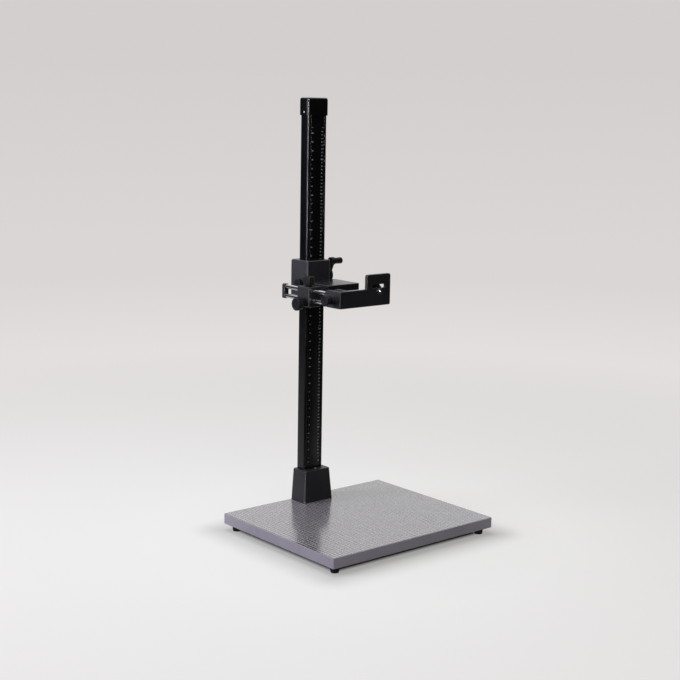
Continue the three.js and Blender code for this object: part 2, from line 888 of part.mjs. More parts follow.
function gibScrew() {
  const headStart = housingInner + gibScrewStandoff;
  const shank = cylinder('y', gibScrewRadius, cavityFront, headStart + gibScrewHeadHeight / 2, smallSides);
  const head = cylinder('y', gibScrewHeadRadius, headStart, headStart + gibScrewHeadHeight, smallSides);
  return piece('gib_screw', join(shank, head), brightSteel(), 0, 0, housingMiddle());
}

function rearCover() {
  const outline = rectangle(
    [-housingHalf, housingHalf], [-housingBelow, housingAbove], housingCorner);
  const plate = pushed('y', outline, housingRear, housingRear + coverThickness, housingBevel / 2);
  const holes = coverScrewPlaces().map(([x, z]) => shifted(
    cylinder('y', coverScrewRadius + fitGap, housingRear - overrun, housingRear + coverThickness + overrun,
      smallSides), x, 0, z));
  return piece('carriage_rear_cover', cut(plate, holes), blackLacquer());
}

function crankBush() {
  const end = housingHalf + crankBossLength;
  const sleeve = cylinder('x', bushOuter, cavityRight, end + fitGap);
  const flange = cylinder('x', bushFlangeRadius, end, end + bushFlangeThickness);
  const bore = cylinder('x', crankShaftRadius + fitGap, cavityRight - overrun,
    end + bushFlangeThickness + overrun);
  return piece('crank_bush', cut(join(sleeve, flange), bore), yellowBrass(), 0, -crankForward, crankHeight);
}

function armPlate() {
  const rear = -housingFront;
  const slab = pushed('z', filleted([
    [-armHalfWidth, rear - armLength, armCorner],
    [armHalfWidth, rear - armLength, armCorner],
    [armHalfWidth, rear, 0],
    [-armHalfWidth, rear, 0],
  ]), -armThickness / 2, armThickness / 2, armBevel);
  const rearHoles = armScrewPlaces().map((x) => shifted(
    cylinder('y', armScrewRadius + fitGap, rear - armScrewGrip - fitGap, rear + overrun, smallSides),
    x, 0, 0));
  const wingHoles = wingScrewPlaces().map(([x, y]) => shifted(
    cylinder('z', wingScrewRadius + fitGap, -armThickness / 2 - overrun,
      -armThickness / 2 + wingScrewGrip + fitGap, smallSides), x, y, 0));
  return piece('arm_plate', cut(slab, rearHoles, wingHoles), blackLacquer());
}

// A cap screw goes through the housing's front wall into the arm plate's rear edge.
function armScrew(x, i) {
  const headFloor = -cavityFront - armScrewHeadHeight;
  const head = cylinder('y', armScrewHeadRadius, headFloor, -cavityFront, smallSides);
  const shank = cylinder('y', armScrewRadius, -housingFront - armScrewGrip, headFloor + fitGap, smallSides);
  return piece(`arm_plate_screw_${i + 1}`, join(head, shank), darkSteel(), x, 0, 0);
}

// Guide block
function wingPlaces(shares) {
  return shares.map(([x, y]) => [-rodSide + blockRight + x * wingReach, -wingFront + y * wingLength]);
}

function wingScrewPlaces() {
  return wingPlaces(wingScrewShares);
}

function rodHole(radius, height) {
  return shifted(cylinder('y', radius, -blockFront - overrun, -blockSplit + overrun),
    -rodSide, 0, -rodMiddleDrop + height);
}

function guideBlock() {
  const left = -rodSide - blockLeft;
  const top = -rodMiddleDrop + blockTop;
  const bottom = -rodMiddleDrop - blockBottom;
  const wingTop = -armThickness / 2;
  const body = pushed('y', rectangle([left, -rodSide + blockRight], [bottom, top], blockRound),
    -blockFront, -blockSplit, blockRound / 3);
  const root = block([-rodSide, -rodSide + blockRight + fitGap], [-wingFront, -blockSplit],
    [wingTop - wingThickness, wingTop]);
  const wing = pushed('z', filleted(wingPlaces(wingOutlineShares).map(([x, y]) => [x, y, 0])),
    wingTop - wingThickness, wingTop);
  const shaftHole = shifted(
    cylinder('x', driveRadius + driveModule + fitGap, left - overrun, -rodSide + driveFaceWidth / 2 + fitGap),
    0, -driveFront, -rodMiddleDrop - driveDrop);
  const tailHole = shifted(
    cylinder('x', driveShaftRadius + fitGap, -rodSide,
      -rodSide + driveFaceWidth / 2 + driveTailLength + fitGap, smallSides),
    0, -driveFront, -rodMiddleDrop - driveDrop);
  const lockHole = shifted(
    cylinder('z', rodLockShoeRadius + fitGap, -rodMiddleDrop + upperRod, top + overrun, smallSides),
    -rodSide, -rodLockFront, 0);
  const wingHoles = wingScrewPlaces().map(([x, y]) => shifted(
    cylinder('z', wingScrewRadius + fitGap, wingTop - wingThickness - overrun, wingTop + overrun, smallSides),
    x, y, 0));
  return piece('rod_guide_block', cut(join(body, root, wing), rodHole(rodBushRadius + fitGap, upperRod),
    rodHole(rodBushRadius + fitGap, lowerRod), shaftHole, tailHole, lockHole, wingHoles), blackCasting());
}

function rodBush(name, height, ...windows) {
  const sleeve = cylinder('y', rodBushRadius, -blockFront + rodBushShortfall, -blockSplit - rodBushShortfall);
  const bore = cylinder('y', rodRadius + fitGap, -blockFront - overrun, -blockSplit + overrun);
  const placed = shifted(cut(sleeve, bore), -rodSide, 0, -rodMiddleDrop + height);
  return piece(name, cut(placed, ...windows), slideNylon());
}

function upperRodBush() {
  const window = shifted(cylinder('z', rodLockShoeRadius + fitGap, -rodMiddleDrop + upperRod, blockTop,
    smallSides), -rodSide, -rodLockFront, 0);
  return rodBush('upper_rod_bush', upperRod, window);
}

function lowerRodBush() {
  const window = shifted(cylinder('x', driveRadius + driveModule + fitGap,
    -rodSide - driveFaceWidth / 2 - fitGap - overrun, -rodSide + driveFaceWidth / 2 + fitGap), 0, -driveFront,
  -rodMiddleDrop - driveDrop);
  return rodBush('lower_rod_bush', lowerRod, window);
}

function driveBush() {
  const left = -blockLeft;
  const sleeve = cylinder('x', driveRadius + driveModule, left, left + driveBushLength);
  const bore = cylinder('x', driveShaftRadius + fitGap, left - overrun, left + driveBushLength + overrun);
  return piece('arm_drive_bush', cut(sleeve, bore), yellowBrass(),
    -rodSide, -driveFront, -rodMiddleDrop - driveDrop);
}

// Crank, placed from the shaft's axis
function crankShaft() {
  const start = halfColumn + fitGap * 2;
  const shaft = cylinder('x', crankShaftRadius, start, armStart);
  const tapping = cylinder('x', crankScrewRadius + fitGap, armStart - crankScrewGrip - fitGap,
    armStart + overrun, smallSides);
  return piece('crank_shaft', cut(shaft, tapping), brightSteel());
}

function liftPinion() {
  const start = halfColumn + fitGap * 2;
  const wheel = pushed('x', gearOutline(liftModule, liftTeeth, liftBacklash), start, start + rackThickness);
  const bore = cylinder('x', crankShaftRadius + fitGap, start - overrun, start + rackThickness + overrun);
  return piece('lift_pinion', cut(wheel, bore), darkSteel());
}

function crankDisc() {
  const disc = turned('x', [
    [0, discStart],
    [crankDiscRadius, discStart],
    [crankDiscRadius, armStart - crankBevel],
    [crankDiscRadius - crankBevel, armStart],
    [0, armStart],
  ]);
  const bore = cylinder('x', crankShaftRadius + fitGap, discStart - overrun, armStart + overrun);
  return piece('crank_disc', cut(disc, bore), blackPlastic());
}

// The arm leans away from the disc, between a boss at its hub and another at its eye.
function crankArm() {
  const hub = cylinder('x', crankArmHubRadius, armStart, armStart + crankArmHubThickness);
  const eye = shifted(cylinder('x', crankArmEyeRadius, eyeFace - crankArmEyeThickness, eyeFace),
    0, 0, crankRadius);
  const bar = pushed('x', [
    new THREE.Vector2(-crankArmRootHalfWidth, 0),
    new THREE.Vector2(crankArmRootHalfWidth, 0),
    new THREE.Vector2(crankArmTopHalfWidth, crankRadius),
    new THREE.Vector2(-crankArmTopHalfWidth, crankRadius),
  ], armStart, armStart + crankArmThickness, crankBevel);
  bar.applyMatrix4(new THREE.Matrix4().makeShear(0, 0, 0, 0, crankArmRise / crankRadius, 0));
  const hubHole = cylinder('x', crankScrewRadius + fitGap, armStart - overrun,
    armStart + crankArmHubThickness + overrun, smallSides);
  const eyeHole = shifted(cylinder('x', handlePinRadius + fitGap, armStart, eyeFace + overrun, smallSides),
    0, 0, crankRadius);
  return piece('crank_arm', cut(join(hub, eye, bar), hubHole, eyeHole), blackPlastic());
}

function crankScrew() {
  const face = armStart + crankArmHubThickness;
  const head = turned('x', [
    [0, face],
    [crankScrewHeadRadius, face],
    [crankScrewHeadRadius, face + crankScrewHeadHeight / 2],
    [crankScrewHeadRadius / 2, face + crankScrewHeadHeight],
    [0, face + crankScrewHeadHeight],
  ]);
  const shank = cylinder('x', crankScrewRadius, armStart - crankScrewGrip, face + crankScrewHeadHeight / 2,
    smallSides);
  return piece('crank_screw', join(head, shank), darkSteel());
}

function handlePin() {
  const end = handleStart + handleLength;
  const shank = cylinder('x', handlePinRadius, eyeFace - crankArmEyeThickness, end - handlePinHeadDepth / 2,
    smallSides);
  const collar = cylinder('x', handleCollarRadius, eyeFace, handleStart - fitGap, smallSides);
  const head = cylinder('x', handlePinHeadRadius, end - handlePinHeadDepth, end - fitGap, smallSides);
  return piece('handle_pin', join(shank, collar, head), darkSteel(), 0, 0, crankRadius);
}

function crankHandle() {
  const end = handleStart + handleLength;
  const grip = turned('x', [
    [0, handleStart],
    [handleRadius - handleRound, handleStart],
    [handleRadius, handleStart + handleRound],
    [handleRadius, handleStart + handleLength / 2],
    [handleRadius + handleFlare, end - handleRound],
    [handleRadius + handleFlare - handleRound, end],
    [0, end],
  ]);
  const bore = cylinder('x', handlePinRadius + fitGap, handleStart - overrun, end + overrun, smallSides);
  const counterbore = cylinder('x', handlePinHeadRadius + fitGap, end - handlePinHeadDepth - fitGap,
    end + overrun, smallSides);
  return piece('crank_handle', cut(grip, bore, counterbore), blackPlastic(), 0, 0, crankRadius);
}

// A knob with its face at one end, a neck at the other and a blind bore for its stud. Its places
// are measured along the axis from the face, inwards.
function knob(axis, direction, face, sizes) {
  const span = (from, to) => {
    const ends = [face - direction * from, face - direction * to];
    return [Math.min(...ends), Math.max(...ends)];
  };
  const head = pushed(axis, fluted(sizes.radius, sizes.flutes), ...span(0, sizes.depth), knobRound);
  const neck = cylinder(axis, sizes.neckRadius, ...span(sizes.depth / 2, sizes.depth + sizes.neck));
  const bore = cylinder(axis, sizes.studRadius + knobBoreGap,
    ...span(sizes.depth / 2, sizes.depth + sizes.neck + overrun), smallSides);
  return cut(join(head, neck), bore);
}

function liftLockKnob() {
  const face = -housingHalf - fitGap - liftLockNeck - liftLockDepth;
  return piece('height_lock_knob', knob('x', -1, face, {
    radius: liftLockRadius,
    depth: liftLockDepth,
    neckRadius: liftLockNeckRadius,
    neck: liftLockNeck,
    studRadius: liftLockStudRadius,
    flutes: liftLockFlutes,
  }), blackPlastic());
}

function liftLockStud() {
  const start = -housingHalf - fitGap * 2 - liftLockNeck - liftLockDepth / 2;
  const stud = cylinder('x', liftLockStudRadius, start + fitGap * 2, -cavityLeft, smallSides);
  return piece('height_lock_stud', stud, brightSteel());
}

function liftLockShoe() {
  return piece('height_lock_shoe',
    cylinder('x', liftLockShoeRadius, -cavityLeft + fitGap, -halfColumn - fitGap), yellowBrass());
}

// Rod drive and rod lock
function driveKnob() {
  const face = -rodSide - blockLeft - fitGap - driveNeckLength - driveKnobDepth;
  return piece('arm_drive_knob', knob('x', -1, face, {
    radius: driveKnobRadius,
    depth: driveKnobDepth,
    neckRadius: driveNeckRadius,
    neck: driveNeckLength,
    studRadius: driveShaftRadius,
    flutes: driveKnobFlutes,
  }), blackPlastic());
}

function drivePinion() {
  const start = -rodSide - driveFaceWidth / 2;
  const end = -rodSide + driveFaceWidth / 2;
  const knobEnd = -rodSide - blockLeft - fitGap * 2 - driveNeckLength - driveKnobDepth / 2;
  const outline = gearOutline(driveModule, driveTeeth, driveBacklash)
    .map((point) => point.rotateAround(new THREE.Vector2(), Math.PI / 2));
  const wheel = pushed('x', outline, start, end);
  const shaft = cylinder('x', driveShaftRadius, knobEnd + fitGap * 2, end + driveTailLength, smallSides);
  return piece('arm_drive_pinion', join(wheel, shaft), brightSteel());
}

function rodLockKnob() {
  const face = -rodMiddleDrop + blockTop + fitGap + rodLockNeckLength + rodLockDepth;
  return piece('arm_lock_knob', knob('z', 1, face, {
    radius: rodLockRadius,
    depth: rodLockDepth,
    neckRadius: rodLockNeckRadius,
    neck: rodLockNeckLength,
    studRadius: rodLockStudRadius,
    flutes: rodLockFlutes,
  }), blackPlastic());
}

function rodLockStud() {
  const shoeTop = -rodMiddleDrop + upperRod + rodRadius + fitGap + rodLockShoeLength;
  const top = -rodMiddleDrop + blockTop + rodLockNeckLength + rodLockDepth / 2;
  return piece('arm_lock_stud', cylinder('z', rodLockStudRadius, shoeTop + fitGap, top, smallSides),
    brightSteel());
}

function rodLockShoe() {
  const foot = -rodMiddleDrop + upperRod + rodRadius + fitGap;
  return piece('arm_lock_shoe', cylinder('z', rodLockShoeRadius, foot, foot + rodLockShoeLength, smallSides),
    yellowBrass(), -rodSide, -rodLockFront, 0);
}

// Rods, placed from the middle between them
function rodSpan() {
  const front = headNoseSeat();
  return [front, front + rodLength];
}

function headNoseSeat() {
  return -pivotFront + pivotBoltRadius * 2;
}

function rodTapping() {
  const rear = rodSpan()[1];
  return cylinder('y', endScrewRadius + fitGap, rear - endScrewGrip - fitGap, rear + overrun, smallSides);
}

function upperRodBar() {
  const bar = cut(cylinder('y', rodRadius, ...rodSpan()), rodTapping());
  return piece('upper_rod', shifted(bar, 0, 0, upperRod), chromePlate());
}

// The lower rod has rack teeth cut along its underside.
function lowerRodBar() {
  const pitchLine = driveRadius - driveDrop;
  const profile = rackProfile(driveModule, driveBacklash, -driveFront, -rodRackStart,
    -rodRackStart + rodRackLength)
    .map(([along, depth]) => new THREE.Vector2(along, pitchLine - depth));
  const below = lowerRod - rodRadius - overrun;
  const [first, last] = [profile[0], profile.at(-1)];
  const comb = [
    new THREE.Vector2(first.x, below),
    new THREE.Vector2(last.x, below),
    ...profile.toReversed(),
  ];
  const cutter = pushed('x', comb, -rodRadius - overrun, rodRadius + overrun);
  const bar = shifted(cut(cylinder('y', rodRadius, ...rodSpan()), rodTapping()), 0, 0, lowerRod);
  return piece('lower_rod', cut(bar, cutter), chromePlate());
}

function endPlate() {
  const front = rodSpan()[1] - endPlateSeat;
  const rear = front + endPlateThickness;
  const outline = rectangle([-endPlateHalfWidth, endPlateHalfWidth], [-endPlateBelow, endPlateAbove],
    endPlateCorner);
  const plate = pushed('y', outline, front, rear, endPlateBevel);
  const seats = [upperRod, lowerRod].map((height) => shifted(
    cylinder('y', rodRadius + fitGap, front - overrun, front + endPlateSeat), 0, 0, height));
  const holes = [upperRod, lowerRod].map((height) => shifted(
    cylinder('y', endScrewRadius + fitGap, front, rear + overrun, smallSides), 0, 0, height));
  return piece('rod_end_plate', cut(plate, seats, holes), blackCasting());
}

function endPlateScrew(name, height) {
  const face = rodSpan()[1] - endPlateSeat + endPlateThickness;
  const head = cylinder('y', endScrewHeadRadius, face, face + endScrewHeadHeight, smallSides);
  const shank = cylinder('y', endScrewRadius, rodSpan()[1] - endScrewGrip, face + endScrewHeadHeight / 2,
    smallSides);
  return piece(name, join(head, shank), darkSteel(), 0, 0, height);
}

// Head and bracket, placed from the tilt axis
function headScrewHeight() {
  return rodsAbovePivot + upperRod + rodRadius + fitGap;
}

function rodHead() {
  const left = -cheekInner + fitGap;
  const nose = cylinder('x', headNoseRadius, left, headRight);
  const body = block([left, headRight], [0, headRear], [-headFloor, headNoseRadius]);
  const noseBack = block([left - overrun, headRight + overrun], [-headNoseRadius - overrun, 0],
    [-headNoseRadius - headFloor, -headNoseRadius]);
  const seats = [upperRod, lowerRod].map((height) => shifted(
    cylinder('y', rodRadius + fitGap, headNoseSeat() + pivotFront - fitGap, headRear + overrun),
    0, 0, rodsAbovePivot + height));
  const boltHole = cylinder('x', pivotBoltRadius + fitGap, left - overrun, headRight + overrun);
  const screwHole = shifted(cylinder('z', headScrewRadius + fitGap, rodsAbovePivot + upperRod,
    headNoseRadius + overrun, smallSides), 0, headScrewBack, 0);
  return piece('rod_head', cut(join(nose, body), noseBack, seats, boltHole, screwHole), blackCasting());
}

function headScrew() {
  const foot = headScrewHeight();
  return piece('rod_head_screw',
    shifted(cylinder('z', headScrewRadius, foot, foot + headScrewLength, smallSides), 0, headScrewBack, 0),
    darkSteel());
}

function bracketOutline() {
  const [left, right] = [-blockLeft, cameraPlateRight];
  const step = right - cameraPlateWidth;
  return filleted([
    [left, -bracketBelow, bracketCorner],
    [right, -bracketBelow, bracketCorner],
    [right, cameraPlateAbove, cameraPlateCorner],
    [step, cameraPlateAbove, cameraPlateCorner],
    [step, bracketAbove, cameraPlateStepCorner],
    [left, bracketAbove, bracketCorner],
  ]);
}

function cheek(from, to) {
  const outline = filleted([
    [-plateInner - bracketPlateThickness / 2, -bracketBelow, 0],
    [cheekRear, -bracketBelow, cheekNoseRadius],
    [cheekRear, bracketAbove, cheekNoseRadius],
    [-plateInner - bracketPlateThickness / 2, bracketAbove, 0],
  ]);
  return pushed('x', outline, from, to, bracketBevel);
}

function cameraBracket() {
  const plate = pushed('y', bracketOutline(), -plateOuter, -plateInner, bracketBevel);
  const boss = cylinder('x', pivotBossRadius, -blockLeft - pivotBossLength, -cheekInner);
  const boltHole = cylinder('x', pivotBoltRadius + fitGap, -blockLeft - pivotBossLength - overrun,
    lugInner + cheekThickness + overrun);
  const slot = shifted(pushed('y', rectangle(
    [-slotWidth / 2, slotWidth / 2], [slotAbove - slotHeight / 2, slotAbove + slotHeight / 2], slotEnd),
  -plateOuter - overrun, -plateInner + overrun), rodSide, 0, 0);
  const leg = shifted(pushed('y', filleted([
    [-slotLegWidth / 2, slotLegAbove - slotLegWidth / 2, slotLegWidth / 4],
    [slotLegWidth / 2, slotLegAbove - slotLegWidth / 2, slotLegWidth / 4],
    [slotLegWidth / 2, slotAbove, 0],
    [-slotLegWidth / 2, slotAbove, 0],
  ]), -plateOuter - overrun, -plateInner + overrun), rodSide, 0, 0);
  const cheeks = [cheek(-blockLeft, -cheekInner), cheek(lugInner, lugInner + cheekThickness)];
  const casting = join(plate, ...cheeks, boss);
  return piece('camera_bracket', cut(casting, boltHole, slot, leg), blackCasting());
}

function tiltWasher() {
  const start = -blockLeft - pivotBossLength - fitGap - tiltWasherThickness;
  const disc = cylinder('x', tiltWasherRadius, start, start + tiltWasherThickness);
  const hole = cylinder('x', pivotBoltRadius + fitGap, start - overrun,
    start + tiltWasherThickness + overrun);
  return piece('tilt_washer', cut(disc, hole), darkSteel());
}

function tiltKnobFace() {
  return -blockLeft - pivotBossLength - fitGap * 2 - tiltWasherThickness - tiltCollarLength - tiltKnobDepth;
}

function tiltKnob() {
  return piece('tilt_knob', knob('x', -1, tiltKnobFace(), {
    radius: tiltKnobRadius,
    depth: tiltKnobDepth,
    neckRadius: tiltCollarRadius,
    neck: tiltCollarLength,
    studRadius: pivotBoltRadius,
    flutes: tiltKnobFlutes,
  }), blackPlastic());
}

function tiltBolt() {
  const lug = lugInner + cheekThickness;
  const shank = cylinder('x', pivotBoltRadius, tiltKnobFace() + tiltKnobDepth / 2 + fitGap, lug + fitGap);
  const head = cylinder('x', pivotBoltHeadRadius, lug, lug + pivotBoltHeadHeight, hexSides);
  return piece('tilt_bolt', join(shank, head), brightSteel());
}

// Camera screw, placed from its axis in the slot's leg
function slideBush() {
  const flange = cylinder('y', slideBushRadius, -plateInner + fitGap,
    -plateInner + fitGap + slideBushThickness);
  const tongue = block([-slotLegWidth / 2 + fitGap, slotLegWidth / 2 - fitGap],
    [-plateOuter + fitGap, -plateInner + fitGap * 2], [-slotLegWidth / 4, slotLegWidth / 4]);
  const bore = cylinder('y', cameraScrewRadius + fitGap, -plateOuter - overrun,
    -plateInner + slideBushThickness + overrun, smallSides);
  return piece('screw_slide_bush', cut(join(flange, tongue), bore), brightSteel());
}

function cameraScrew() {
  const knobMiddle = -plateInner + slideBushThickness + fitGap * 2 + cameraKnobDepth / 2;
  const shank = cylinder('y', cameraScrewRadius, -plateOuter - cameraScrewReach, knobMiddle - fitGap,
    smallSides);
  const collar = cylinder('y', cameraScrewCollarRadius, -plateOuter - fitGap - cameraScrewCollarLength,
    -plateOuter - fitGap);
  return piece('camera_screw', join(shank, collar), chromePlate());
}

function cameraKnob() {
  const start = -plateInner + slideBushThickness + fitGap * 2;
  const head = pushed('y', fluted(cameraKnobRadius, cameraKnobFlutes), start, start + cameraKnobDepth,
    knobRound);
  const bore = cylinder('y', cameraScrewRadius + knobBoreGap, start - overrun, start + cameraKnobDepth / 2,
    smallSides);
  return piece('camera_screw_knob', cut(head, bore), blackPlastic());
}

// Assembly
function placed(group, x, y, z) {
  group.position.set(x, y, z);
  return group;
}

function base() {
  return new THREE.Group().add(
    baseboard(), ...footPlaces().map(rubberFoot), columnSocket(), ...socketBoltPlaces().map(socketBolt),
    clampScrew(), levelCup(), levelVial(), column(), gearRack(), columnCap(), capScrew());
}

function crank() {
  const turning = new THREE.Group().add(crankDisc(), crankArm(), crankScrew(), handlePin(), crankHandle());
  turning.rotation.x = crankRestAngle;
  return placed(new THREE.Group().add(crankShaft(), liftPinion(), turning), 0, -crankForward, crankHeight);
}

function rodDrive() {
  return placed(new THREE.Group().add(driveKnob(), drivePinion()),
    0, -driveFront, -rodMiddleDrop - driveDrop);
}

function rodLock() {
  return placed(new THREE.Group().add(rodLockKnob(), rodLockStud()), -rodSide, -rodLockFront, 0);
}

function cameraClamp() {
  return placed(new THREE.Group().add(slideBush(), cameraScrew(), cameraKnob()), rodSide, 0, slotLegAbove);
}

function bracketEnd() {
  return placed(new THREE.Group().add(
    rodHead(), headScrew(), cameraBracket(), tiltWasher(), tiltKnob(), tiltBolt(), cameraClamp()),
  -rodSide, -pivotFront, -pivotDrop);
}

function rods() {
  return placed(new THREE.Group().add(
    upperRodBar(), lowerRodBar(), endPlate(), endPlateScrew('upper_end_screw', upperRod),
    endPlateScrew('lower_end_screw', lowerRod)), -rodSide, 0, -rodMiddleDrop);
}

function carriage() {
  return placed(new THREE.Group().add(
    carriageHousing(), glideRing('lower_glide_ring', -housingBelow, -housingBelow + glideHeight),
    glideRing('upper_glide_ring', housingAbove - glideHeight, housingAbove), gibPlate(), gibScrew(),
    rearCover(), crankBush(), armPlate(), ...armScrewPlaces().map(armScrew), guideBlock(), upperRodBush(),
    lowerRodBush(), driveBush(), rodLockShoe(), liftLockShoe(), liftLockKnob(), liftLockStud(), crank(),
    rodDrive(), rodLock(), rods(), bracketEnd()), 0, columnY, carriageHeight);
}

const copyStand = new THREE.Group().add(base(), carriage());

export default copyStand;
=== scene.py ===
# %% [markdown]
# # Dressing a copy stand
# A copy stand holds a camera over flat things such as prints, pages and coins. This lesson starts
# from its engineering model, sixty plain solids that already slide, turn and tilt, and gives it
# the look of the real stand: a grey ruled board, black metalwork and a few bright rods and screws.
# The solids fix every size and place. Where a solid's shape is already right it only gets a
# finish, and where the eye wants finer edges a new piece takes its place and rides the same body.

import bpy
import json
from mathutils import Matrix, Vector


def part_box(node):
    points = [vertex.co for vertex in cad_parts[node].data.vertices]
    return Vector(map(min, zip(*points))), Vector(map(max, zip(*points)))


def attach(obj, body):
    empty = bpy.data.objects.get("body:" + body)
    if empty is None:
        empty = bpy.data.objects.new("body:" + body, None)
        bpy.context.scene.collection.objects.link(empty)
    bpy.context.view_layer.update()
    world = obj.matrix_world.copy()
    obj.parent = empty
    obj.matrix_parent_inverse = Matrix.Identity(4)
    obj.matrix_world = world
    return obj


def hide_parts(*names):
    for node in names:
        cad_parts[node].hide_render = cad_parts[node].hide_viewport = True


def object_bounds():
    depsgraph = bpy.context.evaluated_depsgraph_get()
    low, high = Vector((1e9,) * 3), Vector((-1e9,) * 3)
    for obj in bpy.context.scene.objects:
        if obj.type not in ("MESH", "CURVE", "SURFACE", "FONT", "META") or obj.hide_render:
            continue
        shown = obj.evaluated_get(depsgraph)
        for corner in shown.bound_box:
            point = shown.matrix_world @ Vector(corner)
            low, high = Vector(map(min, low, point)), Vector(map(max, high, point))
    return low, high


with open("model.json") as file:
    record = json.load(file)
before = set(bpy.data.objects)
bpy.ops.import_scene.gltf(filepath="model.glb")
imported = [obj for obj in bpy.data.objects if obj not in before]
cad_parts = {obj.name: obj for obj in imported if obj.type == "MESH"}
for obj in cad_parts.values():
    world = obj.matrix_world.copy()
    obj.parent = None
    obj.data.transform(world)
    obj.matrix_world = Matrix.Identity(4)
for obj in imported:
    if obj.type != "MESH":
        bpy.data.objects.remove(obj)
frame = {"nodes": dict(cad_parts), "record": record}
cad_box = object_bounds()

# %% Bring in the tools and name the unit
import json
import math

import bmesh
import bpy
from mathutils import Matrix, Vector

MM = 0.001
scene = bpy.context.scene
scene.view_settings.view_transform = "Standard"
for plain_colour in list(bpy.data.materials):
    bpy.data.materials.remove(plain_colour)
print("one millimetre is", MM, "Blender units; the solids' plain colours are cleared")

# %% [markdown]
# ## The camera
# The photograph was taken from the stand's front left, a little above the arm, with a lens that
# keeps the column almost parallel. The place below was found by setting the corners of the board
# and the top of the column against the picture. The lens could also be shifted instead of
# tilted, but a plain tilted camera also works when the same view is turned round the stand.

# %% Place the camera
CAMERA_PLACE = (-2.4631, -2.8268, 1.1703)
PAN, TILT, ROLL = (math.radians(degrees) for degrees in (-40.133, 80.123, 0.955))
camera = bpy.data.objects.new("camera", bpy.data.cameras.new("camera"))
camera.data.lens = 70.77
camera.data.sensor_width = 36
camera.data.clip_end = 100
camera.matrix_world = (
    Matrix.Translation(CAMERA_PLACE) @ Matrix.Rotation(PAN, 4, "Z")
    @ Matrix.Rotation(TILT, 4, "X") @ Matrix.Rotation(ROLL, 4, "Z"))
scene.collection.objects.link(camera)
scene.camera = camera
print("camera:", [round(x, 3) for x in camera.matrix_world.translation])

# %% [markdown]
# ## Node helpers
# Every finish here is a small network of shader nodes. Writing each link by hand hides the idea,
# so a few helpers carry the routine: one adds a node and fills its sockets, one mixes two colours,
# one remaps a value and two do sums. Colours are written as on paper and turned into light once.

# %% Add a node, fill its sockets
def add(tree, kind, inputs=None, **settings):
    node = tree.nodes.new(kind)
    for key, value in settings.items():
        setattr(node, key, value)
    for key, value in (inputs or {}).items():
        if isinstance(value, bpy.types.NodeSocket):
            tree.links.new(value, node.inputs[key])
        else:
            node.inputs[key].default_value = value
    return node


def ink(code):
    parts = [int(code[i:i + 2], 16) / 255 for i in (0, 2, 4)]
    light = [c / 12.92 if c <= 0.04045 else ((c + 0.055) / 1.055) ** 2.4 for c in parts]
    return (*light, 1.0)


def blend_colours(tree, share, first, second):
    node = add(tree, "ShaderNodeMix", data_type="RGBA")
    for index, value in ((0, share), (6, first), (7, second)):
        if isinstance(value, bpy.types.NodeSocket):
            tree.links.new(value, node.inputs[index])
        else:
            node.inputs[index].default_value = value
    return node.outputs[2]


def remap(tree, value, low, high, to_low=0.0, to_high=1.0, steps="LINEAR"):
    return add(tree, "ShaderNodeMapRange", {
        "Value": value, "From Min": low, "From Max": high, "To Min": to_low, "To Max": to_high,
    }, interpolation_type=steps).outputs[0]


def maths(tree, operation, first, second=0.0):
    return add(tree, "ShaderNodeMath", {0: first, 1: second}, operation=operation).outputs[0]


def vector_maths(tree, operation, first, second=(0, 0, 0)):
    node = add(tree, "ShaderNodeVectorMath", {0: first, 1: second}, operation=operation)
    return node.outputs["Value" if operation in ("LENGTH", "DOT_PRODUCT") else "Vector"]


print("paper grey a5a2a6 as light:", [round(c, 3) for c in ink("a5a2a6")[:3]])

# %% [markdown]
# ## The studio
# The picture is a product shot on a seamless pale sweep, with soft lamps above, to the left and
# in front, and a narrow strip that draws the bright line up the column's corner. A real sweep
# curves up behind the object. Here a wide round floor fades into a sky of the same tint, which
# looks the same from every side. Camera, mirror and glass rays see the pale tint itself, so the
# lamps never have to be raised to make the background bright. Because that tint would also wash
# out the shadow where the board nearly touches the floor, it is dimmed by the distance from the
# board's outline, which is quicker and cleaner than sampling the gap.

# %% Sky that is pale to look at and dim to light with
VIEW_WAY = (0.63, 0.75, 0.0)
AT_HORIZON = ink("dad6d5")


def rays_of_sight(tree):
    rays = add(tree, "ShaderNodeLightPath").outputs
    mirrored = maths(tree, "MAXIMUM", rays["Is Glossy Ray"], rays["Is Transmission Ray"])
    return rays, maths(tree, "MAXIMUM", rays["Is Camera Ray"], mirrored)


def glow_behind(tree, way):
    facing = vector_maths(tree, "DOT_PRODUCT", way, VIEW_WAY)
    return facing, remap(tree, facing, 0.30, 0.80, 0.03, 1.0, "SMOOTHSTEP")


world = bpy.data.worlds.new("studio_sky")
scene.world = world
world.use_nodes = True
sky = world.node_tree
sky.nodes.clear()
looking = add(sky, "ShaderNodeTexCoord").outputs["Generated"]
height = add(sky, "ShaderNodeSeparateXYZ", {0: looking}).outputs["Z"]
tint = blend_colours(sky, remap(sky, height, -0.1, 0.03), AT_HORIZON, ink("d3cfce"))
tint = blend_colours(sky, remap(sky, height, 0.08, 0.16), tint, ink("f6f5f4"))
rays, seen = rays_of_sight(sky)
shine = maths(sky, "MAXIMUM", glow_behind(sky, looking)[1], remap(sky, height, 0.35, 0.6))
shine = maths(sky, "MAXIMUM", shine, rays["Is Camera Ray"])
air = add(sky, "ShaderNodeBackground", {"Color": ink("e3e4ea"), "Strength": 0.18})
sweep = add(sky, "ShaderNodeBackground", {"Color": tint, "Strength": shine})
both = add(sky, "ShaderNodeMixShader", {0: seen, 1: air.outputs[0], 2: sweep.outputs[0]})
add(sky, "ShaderNodeOutputWorld", {"Surface": both.outputs[0]})
print("sky nodes:", len(sky.nodes))

